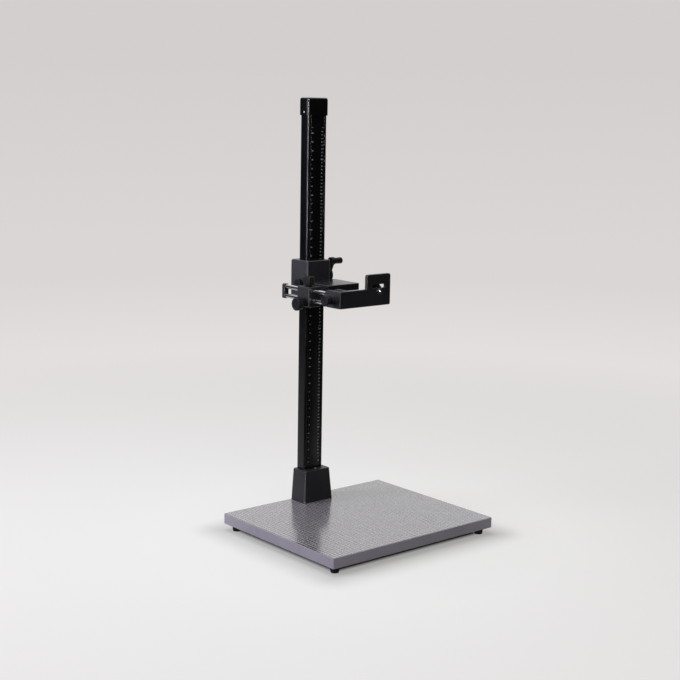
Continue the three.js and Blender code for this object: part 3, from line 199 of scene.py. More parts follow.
# %% A wide round floor
FLOOR_RADIUS = 9.0
FLOOR_LEVEL = cad_box[0].z - 0.0002
floor_skin = bmesh.new()
bmesh.ops.create_circle(floor_skin, cap_ends=True, segments=96, radius=FLOOR_RADIUS)
floor_data = bpy.data.meshes.new("floor")
floor_skin.to_mesh(floor_data)
floor_skin.free()
floor_data.transform(Matrix.Translation((0, 0, FLOOR_LEVEL)))
floor = bpy.data.objects.new("floor", floor_data)
scene.collection.objects.link(floor)
print("floor level:", round(FLOOR_LEVEL, 4))

# %% A painted shadow measured from the board's outline
FADE_FROM, FADE_TO = 0.6, 6.0
DARK_INSIDE, LIT_INSIDE, CLEAR_OUTSIDE = -0.038, -0.020, 0.11
floor_paint = bpy.data.materials.new("pale_sweep")
floor_paint.use_nodes = True
net = floor_paint.node_tree
net.nodes.clear()
spot = add(net, "ShaderNodeTexCoord").outputs["Object"]
away = vector_maths(net, "LENGTH", spot)
board_low, board_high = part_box("baseboard")
past = vector_maths(net, "ABSOLUTE", vector_maths(net, "SUBTRACT", spot, (board_low + board_high) / 2))
past = vector_maths(net, "SUBTRACT", past, (board_high - board_low) / 2)
past = vector_maths(net, "MULTIPLY", past, (1, 1, 0))
beyond = vector_maths(net, "LENGTH", vector_maths(net, "MAXIMUM", past))
sides = add(net, "ShaderNodeSeparateXYZ", {0: past}).outputs
inward = maths(net, "MINIMUM", maths(net, "MAXIMUM", sides["X"], sides["Y"]))
outside = maths(net, "ADD", beyond, inward)
# Painted shadow: near black just inside the board's outline, lighter towards its edge and beyond it
painted_shadow_under = remap(net, outside, DARK_INSIDE, LIT_INSIDE, 0.03, 1.0)
painted_shadow_near = remap(net, outside, LIT_INSIDE, CLEAR_OUTSIDE, 0.55, 1.0, "SMOOTHSTEP")
painted_shadow_near = maths(net, "MULTIPLY", painted_shadow_under, painted_shadow_near)
print("the floor darkens", -LIT_INSIDE / MM, "mm inside the board's outline")

# %% Paper that fades into the sky, darkened by the board as a painted shadow
far = remap(net, maths(net, "LOGARITHM", away, math.e), math.log(FADE_FROM), math.log(FADE_TO))
paper = blend_colours(net, far, ink("f5f4f2"), AT_HORIZON)
rays, seen = rays_of_sight(net)
bounce = blend_colours(net, rays["Is Diffuse Ray"], ink("f6f5f3"), ink("a4a4a6"))
# The diffuse colour is painted dark under the board, part of the same painted shadow
lit = add(net, "ShaderNodeBsdfDiffuse", {"Color": blend_colours(net, painted_shadow_under, ink("2c2c2c"), bounce)})
facing, behind = glow_behind(net, vector_maths(net, "NORMALIZE", spot))
beside = maths(net, "MULTIPLY", remap(net, away, 1.0, 4.0, 0.6, 0.0), remap(net, facing, -0.2, 0.2))
shine = maths(net, "MAXIMUM", maths(net, "MAXIMUM", behind, beside), rays["Is Camera Ray"])
# The glow is dimmed near the board too, the same painted shadow
shine = maths(net, "MULTIPLY", shine, painted_shadow_near)
glow = add(net, "ShaderNodeEmission", {"Color": paper, "Strength": shine})
share = maths(net, "MAXIMUM", rays["Is Glossy Ray"], remap(net, away, 0.9, 3.0, 0.65, 1.0))
share = maths(net, "MULTIPLY", seen, share)
mixed = add(net, "ShaderNodeMixShader", {0: share, 1: lit.outputs[0], 2: glow.outputs[0]})
add(net, "ShaderNodeOutputMaterial", {"Surface": mixed.outputs[0]})
floor_data.materials.append(floor_paint)
print("floor nodes:", len(net.nodes))

# %% Soft lamps
def soft_lamp(name, place, aim, size, watts, tint="ffffff"):
    lamp = bpy.data.lights.new(name, "AREA")
    lamp.shape = "RECTANGLE"
    lamp.size, lamp.size_y = size
    lamp.energy = watts
    lamp.color = ink(tint)[:3]
    holder = bpy.data.objects.new(name, lamp)
    turn = (Vector(aim) - Vector(place)).to_track_quat("-Z", "Y").to_matrix().to_4x4()
    holder.matrix_world = Matrix.Translation(place) @ turn
    scene.collection.objects.link(holder)
    return holder


soft_lamp("lamp_above", (-0.5, 0.5, 3.3), (0, 0, 0), (2.6, 2.6), 52)
soft_lamp("lamp_left", (-3.1, 1.5, 1.5), (0, 0.1, 0.5), (1.2, 2.4), 84, "eeecff")
soft_lamp("lamp_front", (-1.6, -3.4, 1.8), (0, 0, 0.4), (1.6, 1.6), 24)
strip = soft_lamp("lamp_strip", (-2.9, -2.1, 1.4), (0, 0.2, 1.4), (0.14, 2.1), 115)
strip.visible_diffuse = False

# %% [markdown]
# ## Marks that every finish shares
# No real surface has one even colour. Black paint has a fine orange-peel skin and broad cloudy
# patches, and its edges polish first. One node group makes those marks from Object coordinates:
# a fine grain, a broad patch, a mask of the edges and a normal that rounds the edges and carries
# the grain. Each finish then decides what to do with them, with its fixed values on its shader.
# The finishes paint their edges lighter with the edge mask, partly as wear and partly as a
# painted highlight along the edge.
# The two glossiest blacks set the edge radius to zero, because a sampled edge would speckle the
# narrow line of light that their own rounded meshes already carry.

# %% Build the group of marks
marks = bpy.data.node_groups.new("surface_marks", "ShaderNodeTree")
for label, kind in (("Grain Scale", "NodeSocketFloat"), ("Grain Depth", "NodeSocketFloat"),
                    ("Stretch", "NodeSocketVector"), ("Edge Radius", "NodeSocketFloat")):
    marks.interface.new_socket(label, in_out="INPUT", socket_type=kind)
for label, kind in (("Grain", "NodeSocketFloat"), ("Patch", "NodeSocketFloat"),
                    ("Edge", "NodeSocketFloat"), ("Normal", "NodeSocketVector")):
    marks.interface.new_socket(label, in_out="OUTPUT", socket_type=kind)
given = add(marks, "NodeGroupInput")
spot = add(marks, "ShaderNodeTexCoord").outputs["Object"]
drawn = add(marks, "ShaderNodeMapping", {"Vector": spot, "Scale": given.outputs["Stretch"]})
grain = add(marks, "ShaderNodeTexNoise", {
    "Vector": drawn.outputs[0], "Scale": given.outputs["Grain Scale"], "Detail": 3.0, "Roughness": 0.6})
patch = add(marks, "ShaderNodeTexNoise", {
    "Vector": spot, "Scale": 16.0, "Detail": 5.0, "Roughness": 0.65})
round_edge = add(marks, "ShaderNodeBevel", {"Radius": given.outputs["Edge Radius"]}, samples=4)
flat = add(marks, "ShaderNodeNewGeometry").outputs["Normal"]
agree = vector_maths(marks, "DOT_PRODUCT", round_edge.outputs[0], flat)
# Edge mask: where the finishes paint edges lighter, partly wear and partly a painted highlight
edge = maths(marks, "MULTIPLY", remap(marks, agree, 0.995, 0.86),
             remap(marks, patch.outputs[0], 0.38, 0.62, 0.25, 1.0))
bump = add(marks, "ShaderNodeBump", {
    "Strength": 1.0, "Distance": given.outputs["Grain Depth"], "Height": grain.outputs[0],
    "Normal": round_edge.outputs[0]})
add(marks, "NodeGroupOutput", {
    "Grain": grain.outputs[0], "Patch": patch.outputs[0], "Edge": edge, "Normal": bump.outputs[0]})
print("marks group:", len(marks.nodes), "nodes")

# %% A finish from those marks
def start_finish(name, grain, stretch, soft):
    material = bpy.data.materials.new(name)
    material.use_nodes = True
    tree = material.node_tree
    tree.nodes.clear()
    found = add(tree, "ShaderNodeGroup", {
        "Grain Scale": grain[0], "Grain Depth": grain[1] * MM, "Stretch": stretch,
        "Edge Radius": soft * MM,
    }, node_tree=marks)
    return material, tree, found.outputs


def end_finish(tree, colour, roughness, normal, fixed):
    shader = add(tree, "ShaderNodeBsdfPrincipled", {
        "Base Color": colour, "Roughness": roughness, "Normal": normal, **fixed})
    add(tree, "ShaderNodeOutputMaterial", {"Surface": shader.outputs[0]})


def finish(name, colour, patch, wear_and_highlight, rough, grain, stretch=(1, 1, 1), soft=0.35, **fixed):
    material, tree, found = start_finish(name, grain, stretch, soft)
    base = blend_colours(tree, remap(tree, found["Patch"], 0.35, 0.65), ink(colour), ink(patch))
    # Lighter edges: partly wear, partly a painted highlight
    base = blend_colours(tree, found["Edge"], base, ink(wear_and_highlight))
    spread = maths(tree, "ADD", remap(tree, found["Grain"], 0.3, 0.7, *rough),
                   remap(tree, found["Patch"], 0.3, 0.7, -0.03, 0.03))
    named = {"metallic": "Metallic", "specular": "Specular IOR Level", "coat": "Coat Weight",
             "coat_rough": "Coat Roughness", "sheen": "Sheen Weight"}
    end_finish(tree, base, spread, found["Normal"], {named[k]: v for k, v in fixed.items()})
    return material


print("a finish takes a colour, its patches, its worn edge, a span of roughness and a grain")

# %% [markdown]
# ## The finishes
# The stand is black in several ways. The castings wear a satin paint with a fine skin, the
# carriage and its plate a smoother lacquer, the column a drawn anodised coat whose grain runs up
# and down, and the knobs a plain moulded plastic. The rods are chromed, the small screws are zinc
# or black oxide. One black used everywhere is quicker, but then the parts melt into each other.

# %% Blacks of the castings, the column and the knobs
casting_black = finish("casting_black", "111115", "17181d", "3a3a42", (0.36, 0.48), (1400, 0.030),
                       specular=0.5)
column_coat = finish("column_coat", "08090a", "0d0e10", "3a3b40", (0.15, 0.20), (2600, 0.0005),
                     stretch=(1, 1, 0.02), soft=0.0, specular=0.45)
carriage_lacquer = finish("carriage_lacquer", "13131a", "1a1a22", "44444e", (0.42, 0.54), (1500, 0.030),
                          specular=0.55, coat=0.25, coat_rough=0.14)
plate_lacquer = finish("plate_lacquer", "141417", "1a1b1f", "3b3b41", (0.24, 0.33), (1200, 0.014),
                       specular=0.5)
knob_plastic = finish("knob_plastic", "111114", "18181b", "3a3a3e", (0.42, 0.55), (2200, 0.014),
                      specular=0.15)
cap_plastic = finish("cap_plastic", "0a0a0c", "101012", "36363b", (0.13, 0.18), (1800, 0.0006),
                     soft=0.0, specular=0.42)
foot_rubber = finish("foot_rubber", "0f0f10", "191919", "2c2c2c", (0.70, 0.86), (2600, 0.050),
                     specular=0.25)
print("blacks made for castings, column, carriage, plate, knobs, cap and feet")

# %% Bright and dark metals, brass and nylon
chrome = finish("chrome", "d6d8da", "c4c7ca", "eceeef", (0.04, 0.09), (5200, 0.0015),
                stretch=(0.3, 1, 0.3), metallic=1.0)
bright_steel = finish("bright_steel", "b9bcbe", "9ea1a3", "d8dadb", (0.32, 0.44), (3000, 0.006),
                      metallic=1.0)
dark_steel = finish("dark_steel", "3a3b3d", "28292b", "77787a", (0.30, 0.44), (2600, 0.008),
                    metallic=1.0)
brass = finish("brass", "b8985a", "8f7440", "d9bd82", (0.22, 0.36), (2600, 0.006), metallic=1.0)
slide_nylon = finish("slide_nylon", "18181a", "1f1f22", "38383b", (0.42, 0.55), (1500, 0.012),
                     specular=0.4)
print("metals and nylon made")

# %% [markdown]
# ## The board's laminate
# The board is faced with a warm grey laminate, printed with a square grid of fine light lines
# one centimetre apart so that work can be laid straight. The print could be modelled as strips,
# but it has no thickness, so it belongs in the material. A ping-pong of the Object coordinate
# gives the distance to the nearest line, and the height keeps the print on the top face. The
# face is semi-gloss: the column's dark reflection lies across it, where the grid shows best.

# %% Laminate with a printed grid
GRID_PITCH, GRID_LINE, GRID_MARGIN = 10, 1.2, 3.0
board_laminate, net, found = start_finish("board_laminate", (3200, 0.006), (1, 1, 1), 0.4)
spot = add(net, "ShaderNodeSeparateXYZ", {0: add(net, "ShaderNodeTexCoord").outputs["Object"]})
lines = [remap(net, maths(net, "PINGPONG", spot.outputs[axis], GRID_PITCH * MM / 2),
               GRID_LINE * MM * 0.35, GRID_LINE * MM * 0.65, 1.0, 0.0) for axis in ("X", "Y")]
on_top = remap(net, spot.outputs["Z"], -0.5 * MM, -0.3 * MM)
within = [remap(net, maths(net, "ABSOLUTE", spot.outputs[axis]),
                reach - (GRID_MARGIN + 0.5) * MM, reach - GRID_MARGIN * MM, 1.0, 0.0)
          for axis, reach in (("X", board_high.x), ("Y", board_high.y))]
grid = maths(net, "MAXIMUM", *lines)
for mask in (on_top, *within, remap(net, found["Patch"], 0.25, 0.6, 0.85, 1.0)):
    grid = maths(net, "MULTIPLY", grid, mask)
# Top and sides are one laminate painted in two greys for how the light falls: the top painted darker, the
# sides painted lighter
top_grey_painted_shade = blend_colours(net, remap(net, found["Patch"], 0.3, 0.7), ink("565257"), ink("504c51"))
top_grey_painted_shade = blend_colours(net, grid, top_grey_painted_shade, ink("e6e3e8"))
side_grey_painted_light = blend_colours(net, remap(net, found["Patch"], 0.3, 0.7), ink("b0abb3"), ink("a8a3ab"))
base = blend_colours(net, on_top, side_grey_painted_light, top_grey_painted_shade)
base = blend_colours(net, remap(net, found["Grain"], 0.42, 0.62, 0.0, 0.2), base, ink("6c686f"))
# The board's edges painted lighter: partly wear, partly a painted highlight
base = blend_colours(net, found["Edge"], base, ink("bab6bc"))
gloss = remap(net, found["Patch"], 0.3, 0.7, 0.22, 0.28)
gloss = maths(net, "ADD", gloss, maths(net, "MULTIPLY", grid, 0.12))
end_finish(net, base, gloss, found["Normal"], {"Coat Weight": 0.85, "Coat Roughness": 0.16})
print("grid lines every", GRID_PITCH, "mm,", GRID_LINE, "mm wide")

# %% [markdown]
# ## The level's fluid and the printing ink
# The round level is a clear dome over yellow-green fluid, with a black ring on the glass and one
# bubble. At this size the dome is a bright disc, so the ring and the bubble are drawn by the
# distance from their middles instead of being modelled as glass, which would need many more
# samples to look clean. The figures on the column are a thin matt ink that has lost a little.

# %% Fluid with its ring and bubble, and ink
vial_low, vial_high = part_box("level_vial")
vial_middle = (vial_low + vial_high) / 2
level_fluid, net, found = start_finish("level_fluid", (700, 0.001), (1, 1, 1), 0.2)
spot = add(net, "ShaderNodeTexCoord").outputs["Object"]


def distance_from(tree, point, middle):
    apart = vector_maths(tree, "SUBTRACT", point, middle)
    return vector_maths(tree, "LENGTH", vector_maths(tree, "MULTIPLY", apart, (1, 1, 0)))


def drawn_ring(tree, distance, radius, core, edge):
    off_ring = maths(tree, "ABSOLUTE", maths(tree, "SUBTRACT", distance, radius * MM))
    return remap(tree, off_ring, core * MM, edge * MM, 1.0, 0.0)


RING_RADIUS, BUBBLE_RADIUS = 2.6, 1.7
ring = drawn_ring(net, distance_from(net, spot, vial_middle), RING_RADIUS, 0.16, 0.24)
bubble = distance_from(net, spot, vial_middle + Vector((0.3, -0.4, 0)) * MM)
# The bubble's pale middle and darker rim are painted light: a painted highlight inside, a painted shade
# round its edge
rim = drawn_ring(net, bubble, BUBBLE_RADIUS, 0.10, 0.30)
inside = remap(net, bubble, (BUBBLE_RADIUS - 0.2) * MM, (BUBBLE_RADIUS + 0.1) * MM, 1.0, 0.0)
base = blend_colours(net, remap(net, found["Patch"], 0.3, 0.7), ink("c9d648"), ink("b7c63a"))
base = blend_colours(net, inside, base, ink("e9efab"))
base = blend_colours(net, rim, base, ink("7d8a22"))
base = blend_colours(net, ring, base, ink("15160c"))
end_finish(net, base, remap(net, found["Grain"], 0.3, 0.7, 0.05, 0.10), found["Normal"],
           {"Coat Weight": 1.0, "Coat Roughness": 0.03})
print_ink = finish("print_ink", "e0e2e4", "cdd0d3", "ececee", (0.50, 0.62), (4000, 0.004), specular=0.3)
print("level fluid and ink made")

# %% [markdown]
# ## Finishing the solids that stay
# Gear teeth, bushes, glide rings and the other working parts inside are right as they are. Each
# material in the record names the finish its solids were given, so the table below pairs every
# solid with its procedural finish, and a solid that is replaced later simply isn't shown.

# %% Give every solid its finish
WEARS = {
    board_laminate: ["baseboard"],
    foot_rubber: ["foot_front_left", "foot_front_right", "foot_rear_left", "foot_rear_right"],
    casting_black: ["column_socket", "rod_guide_block", "rod_end_plate", "rod_head", "camera_bracket"],
    column_coat: ["column"],
    carriage_lacquer: ["carriage_housing", "carriage_rear_cover"],
    plate_lacquer: ["arm_plate"],
    knob_plastic: ["level_cup", "height_lock_knob", "crank_disc", "crank_arm", "crank_handle",
                   "arm_drive_knob", "arm_lock_knob", "tilt_knob", "camera_screw_knob"],
    cap_plastic: ["column_cap"],
    chrome: ["upper_rod", "lower_rod", "camera_screw"],
    bright_steel: ["column_bolt_1", "column_bolt_2", "column_bolt_3", "column_bolt_4", "cap_screw",
                   "gib_screw", "height_lock_stud", "crank_shaft", "arm_drive_pinion",
                   "arm_lock_stud", "tilt_bolt", "screw_slide_bush"],
    dark_steel: ["column_clamp_screw", "gear_rack", "arm_plate_screw_1", "arm_plate_screw_2",
                 "lift_pinion", "crank_screw", "handle_pin", "upper_end_screw", "lower_end_screw",
                 "rod_head_screw", "tilt_washer"],
    brass: ["gib_plate", "crank_bush", "arm_drive_bush", "arm_lock_shoe", "height_lock_shoe"],
    slide_nylon: ["lower_glide_ring", "upper_glide_ring", "upper_rod_bush", "lower_rod_bush"],
    level_fluid: ["level_vial"],
}
BODIES = frame["record"]["behaviour"]["bodies"]
BODY_OF = {node: body for body, nodes in BODIES.items() for node in nodes}
for material, names in WEARS.items():
    for node in names:
        data = frame["nodes"][node].data
        data.materials.clear()
        data.materials.append(material)

# %% [markdown]
# ## Making and keeping pieces
# A new piece is a mesh with its place in its vertices, smooth where it curves and sharp where it
# folds. It then rides on the body of the solid it stands for. Two helpers do this for all.

# %% Make a piece, keep a piece
def as_piece(name, skin, material):
    data = bpy.data.meshes.new(name)
    skin.normal_update()
    skin.to_mesh(data)
    skin.free()
    if "custom_normal" in data.attributes:
        data.attributes.remove(data.attributes["custom_normal"])
    data.materials.clear()
    data.materials.append(material)
    data.shade_smooth()
    data.set_sharp_from_angle(angle=math.radians(40))
    piece = bpy.data.objects.new(name, data)
    scene.collection.objects.link(piece)
    return piece


def keep(piece, *solids, body=None, slot=None):
    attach(piece, body or BODY_OF[solids[0]])
    if solids:
        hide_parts(*solids)
    piece.data.calc_loop_triangles()
    print(f"{piece.name}: {len(piece.data.loop_triangles)} triangles")
    return piece


print("pieces ride with:", sorted(set(BODY_OF.values())))

# %% [markdown]
# ## Castings and plates with eased edges
# A casting or a painted plate never has a knife edge, and the thin line of light along its edge
# is what tells the eye it is metal. These pieces are copies of the solids: their doubled points
# are merged, flat faces are made whole, and a Bevel modifier rounds each sharp edge by less than
# a millimetre. A Weighted Normal modifier then keeps the flat faces flat to the light.

# %% Ease the edges of a copy
def plain_mesh(piece):
    seen_piece = piece.evaluated_get(bpy.context.evaluated_depsgraph_get())
    data = bpy.data.meshes.new_from_object(seen_piece)
    piece.modifiers.clear()
    piece.data = data
    return piece


def eased_copy(name, node, width, segments=2):
    skin = bmesh.new()
    skin.from_mesh(frame["nodes"][node].data)
    bmesh.ops.remove_doubles(skin, verts=skin.verts, dist=1e-6)
    bmesh.ops.dissolve_limit(skin, angle_limit=math.radians(0.5), verts=skin.verts, edges=skin.edges)
    piece = as_piece(name, skin, frame["nodes"][node].data.materials[0])
    bevel = piece.modifiers.new("eased_edges", "BEVEL")
    bevel.width = width * MM
    bevel.segments = segments
    bevel.limit_method = "ANGLE"
    bevel.angle_limit = math.radians(32)
    piece.modifiers.new("even_light", "WEIGHTED_NORMAL")
    return keep(plain_mesh(piece), node)


eased_copy("board", "baseboard", 0.5, 3)
eased_copy("socket_casting", "column_socket", 0.8, 3)
eased_copy("end_cap", "column_cap", 0.5, 3)

# %% The carriage, its arm and the bracket
for name, node, width in (
        ("housing", "carriage_housing", 0.45), ("rear_cover", "carriage_rear_cover", 0.4),
        ("arm_slab", "arm_plate", 0.4), ("guide_casting", "rod_guide_block", 0.4),
        ("end_bar", "rod_end_plate", 0.4), ("head_casting", "rod_head", 0.4),
        ("bracket_casting", "camera_bracket", 0.4), ("crank_lever", "crank_arm", 0.5)):
    eased_copy(name, node, width)

# %% [markdown]
# ## Geometry Nodes for what repeats or follows a rule
# Four feet, rows of screws, ticks on a scale and flutes round a knob all follow a rule, so a
# node tree makes them and the sizes stay as named inputs. The helpers below start a tree, end it
# with Realize Instances and Set Material, and run it on an object. The input values are set by
# each socket's identifier before the object is first looked at, and the result is kept as mesh.

# %% Start, end and run a tree
def start_tree(name, sizes):
    tree = bpy.data.node_groups.new(name, "GeometryNodeTree")
    tree.interface.new_socket("Geometry", in_out="INPUT", socket_type="NodeSocketGeometry")
    for label, kind in sizes:
        tree.interface.new_socket(label, in_out="INPUT", socket_type="NodeSocket" + kind)
    tree.interface.new_socket("Material", in_out="INPUT", socket_type="NodeSocketMaterial")
    tree.interface.new_socket("Geometry", in_out="OUTPUT", socket_type="NodeSocketGeometry")
    return tree, add(tree, "NodeGroupInput").outputs


def end_tree(tree, given, geometry):
    real = add(tree, "GeometryNodeRealizeInstances", {0: geometry})
    painted = add(tree, "GeometryNodeSetMaterial", {
        "Geometry": real.outputs[0], "Material": given["Material"]})
    add(tree, "NodeGroupOutput", {0: painted.outputs[0]})


def run_tree(piece, tree, sizes):
    modifier = piece.modifiers.new(tree.name, "NODES")
    modifier.node_group = tree
    values = {**sizes, "Material": piece.data.materials[0]}
    for item in tree.interface.items_tree:
        if item.in_out == "INPUT" and item.name in values:
            modifier[item.identifier] = values[item.name]
    return plain_mesh(piece)


print("a tree ends in Realize Instances and Set Material")

# %% A tree that sets one piece out in rows and columns
rows_tree, given = start_tree("rows_and_columns", [
    ("Columns", "Int"), ("Column Step", "Vector"), ("Rows", "Int"), ("Row Step", "Vector")])
laid = given["Geometry"]
for count, step in (("Columns", "Column Step"), ("Rows", "Row Step")):
    line = add(rows_tree, "GeometryNodeMeshLine", {"Count": given[count], "Offset": given[step]})
    laid = add(rows_tree, "GeometryNodeInstanceOnPoints", {
        "Points": line.outputs[0], "Instance": laid}).outputs[0]
end_tree(rows_tree, given, laid)


def set_out(piece, columns, column_step, rows=1, row_step=(0, 0, 0)):
    return run_tree(piece, rows_tree, {
        "Columns": columns, "Column Step": [s * MM for s in column_step],
        "Rows": rows, "Row Step": [s * MM for s in row_step]})


print("tree:", rows_tree.name)

# %% [markdown]
# ## The column
# The column is a drawn aluminium bar, one section from end to end: a flat box with rounded
# corners and two grooves down the front that frame the scale. That is a rule, so only its
# section is drawn and a tree draws it out to length. The corners get many short facets, because
# the long bright line of light up the front left corner is the clearest thing in the picture.

# %% Draw the section
def rounded_outline(corners, steps=8):
    points = []
    for i, (x, y, ease) in enumerate(corners):
        here = Vector((x, y))
        if not ease:
            points.append(here)
            continue
        before = (Vector(corners[i - 1][:2]) - here).normalized() * ease
        after = (Vector(corners[(i + 1) % len(corners)][:2]) - here).normalized() * ease
        middle = here + before + after
        for k in range(steps + 1):
            turn = math.pi / 2 * k / steps
            points.append(middle - after * math.cos(turn) - before * math.sin(turn))
    return points


CORNER, GROOVE_EASE = 4, 0.6
GROOVE_EDGE, GROOVE_WIDTH, GROOVE_DEPTH = 8, 3.2, 3
low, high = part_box("column")
half_wide, front_y, back_y = high.x / MM, low.y / MM, high.y / MM
groove_out, groove_floor = half_wide - GROOVE_EDGE, front_y + GROOVE_DEPTH
groove_in = groove_out - GROOVE_WIDTH
groove = [(groove_in, front_y), (groove_in, groove_floor),
          (groove_out, groove_floor), (groove_out, front_y)]
section = rounded_outline([
    (-half_wide, front_y, CORNER),
    *((-x, y, GROOVE_EASE) for x, y in reversed(groove)), *((x, y, GROOVE_EASE) for x, y in groove),
    (half_wide, front_y, CORNER), (half_wide, back_y, CORNER), (-half_wide, back_y, CORNER)])
skin = bmesh.new()
skin.faces.new([skin.verts.new((p.x * MM, p.y * MM, low.z)) for p in section])
bar = as_piece("column_bar", skin, column_coat)
print("section points:", len(section))

# %% Draw the bar out to length
bar_tree, given = start_tree("drawn_bar", [("Length", "Float")])
drawn = add(bar_tree, "GeometryNodeExtrudeMesh", {
    "Mesh": given["Geometry"], "Offset": (0, 0, 1), "Offset Scale": given["Length"], "Individual": False})
foot_end = add(bar_tree, "GeometryNodeFlipFaces", {"Mesh": given["Geometry"]})
closed = add(bar_tree, "GeometryNodeJoinGeometry")
for shell in (drawn, foot_end):
    bar_tree.links.new(shell.outputs[0], closed.inputs[0])
welded = add(bar_tree, "GeometryNodeMergeByDistance", {"Geometry": closed.outputs[0], "Distance": 1e-6})
end_tree(bar_tree, given, welded.outputs[0])
run_tree(bar, bar_tree, {"Length": high.z - low.z})
bar.data.shade_smooth()
bar.data.set_sharp_from_angle(angle=math.radians(32))
keep(bar, "column")

# %% [markdown]
# ## Turned parts
# Rods, feet, washers, screws and knobs come off a lathe or out of a round mould. A primitive
# cylinder would have hard rims, so each is spun from a drawn profile whose corners are eased. A
# ring of the profile may also be a hexagon, which makes bolt heads and sockets for a hex key.

# %% Ease the corners of a profile
def eased_profile(corners, steps=4):
    points = []
    for i, (radius, place, ease) in enumerate(corners):
        here = Vector((radius, place))
        if not ease:
            points.append((radius, place))
            continue
        before = (Vector(corners[i - 1][:2]) - here).normalized() * ease
        after = (Vector(corners[i + 1][:2]) - here).normalized() * ease
        points += [tuple(here + before * (1 - k / steps) ** 2 + after * (k / steps) ** 2)
                   for k in range(steps + 1)]
    return points


print("a corner of a profile is (radius, place, ease)")

# %% Spin a profile
def spun(profile, sides=72):
    skin = bmesh.new()
    rings = []
    for radius, place, *corners in profile:
        if radius < 1e-6:
            rings.append([skin.verts.new((0, 0, place * MM))])
            continue
        ring = []
        for k in range(sides):
            turn = 2 * math.pi * k / sides
            reach = radius
            if corners:
                wedge = math.pi / corners[0]
                reach *= math.cos(wedge) / math.cos(turn % (2 * wedge) - wedge)
            point = (reach * math.cos(turn), reach * math.sin(turn), place)
            ring.append(skin.verts.new(Vector(point) * MM))
        rings.append(ring)
    for low_ring, high_ring in zip(rings, rings[1:]):
        for k in range(sides):
            corners = [low_ring[k % len(low_ring)], low_ring[(k + 1) % sides % len(low_ring)],
                       high_ring[(k + 1) % sides % len(high_ring)], high_ring[k % len(high_ring)]]
            skin.faces.new(list(dict.fromkeys(corners)))
    return skin


print("a ring of a profile is (radius, place) or (radius, place, corners)")

# %% Stand a turned piece in its place
def placing(direction, centre):
    turn = Vector(direction).to_track_quat("Z", "Y").to_matrix().to_4x4()
    return Matrix.Translation(Vector(centre) * MM) @ turn


def stood(skin, direction, centre):
    skin.transform(placing(direction, centre))
    return skin


def middle_of(node):
    return sum(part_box(node), Vector()) / 2 / MM


print("the column's middle:", [round(c, 2) for c in middle_of("column")], "mm")

# %% [markdown]
# ## Feet and the screws under the board
# Four rubber feet lift the board off the table so that fingers fit under its edge. Each is held
# by a screw in a deep recess, and four flanged bolts under the rear edge pull the casting down.
# One of each is spun and the rows tree sets it out, at a spacing measured on the solids.

# %% Feet in rows
first_foot, last_foot = middle_of("foot_front_left"), middle_of("foot_rear_right")
foot_step = last_foot - first_foot
board_under = board_low.z / MM
foot = spun(eased_profile([
    (0, -11, 0), (5.8, -11, 0), (5.8, -20, 0.5), (11.3, -20, 0.9), (12.5, -10, 0), (12.5, -3.2, 0.3),
    (11.9, -2.9, 0.3), (11.9, -2.2, 0.3), (12.5, -1.9, 0.3), (12.5, 0, 0.4), (0, 0, 0)]), 48)
foot_top = (first_foot.x, first_foot.y, board_under)
feet = as_piece("feet", stood(foot, (0, 0, 1), foot_top), foot_rubber)
set_out(feet, 2, (foot_step.x, 0, 0), 2, (0, foot_step.y, 0))
keep(feet, "foot_front_left", "foot_front_right", "foot_rear_left", "foot_rear_right")

# %% Screws with a hex socket
HEX = 6


def socket_screw(head, rise, key, shank=0.0, grip=0.0):
    stem = [(0, -grip, 0), (shank, -grip, 0.2), (shank, 0, 0)] if shank else [(0, 0, 0)]
    dome = [(head, 0, 0), (head, rise, min(rise, head) * 0.35), (key * 1.12, rise, 0)]
    hollow = [(key, rise - 0.12, HEX), (key, rise * 0.35, HEX), (0, rise * 0.25)]
    return eased_profile(stem) + eased_profile(dome) + hollow


FOOT_RECESS = 11
screw = spun(socket_screw(5.4, 3.2, 2.5), 48)
screw_seat = (first_foot.x, first_foot.y, board_under - FOOT_RECESS)
foot_screws = as_piece("foot_screws", stood(screw, (0, 0, -1), screw_seat), bright_steel)
set_out(foot_screws, 2, (foot_step.x, 0, 0), 2, (0, foot_step.y, 0))
keep(foot_screws, body="base", slot="bright_steel")

# %% Flanged bolts under the casting
bolt = [(0, -52), (3.9, -52), (4, -51.6), (4, 0)]
bolt += eased_profile([(9, 0, 0.3), (9, 1.2, 0.4), (7.2, 1.8, 0)], 2)
bolt += [(6.5, 2.0, HEX), (6.5, 6.2, HEX), (5.4, 6.9), (4.6, 6.9), (4.3, 6.5), (0, 6.4)]
bolt_nodes = [f"column_bolt_{n}" for n in (1, 2, 3, 4)]
places = [middle_of(node) for node in bolt_nodes]
left, right = min(p.x for p in places), max(p.x for p in places)
fore, rear = min(p.y for p in places), max(p.y for p in places)
first_bolt = stood(spun(bolt, 48), (0, 0, -1), (left, fore, board_under))
bolts = as_piece("casting_bolts", first_bolt, bright_steel)
set_out(bolts, 2, (right - left, 0, 0), 2, (0, rear - fore, 0))
keep(bolts, *bolt_nodes)

# %% [markdown]
# ## The level on the casting
# The casting's top holds a small round level, so that the board can be set flat. A black cup
# holds the vial, whose domed top catches the lamps. Both are spun.

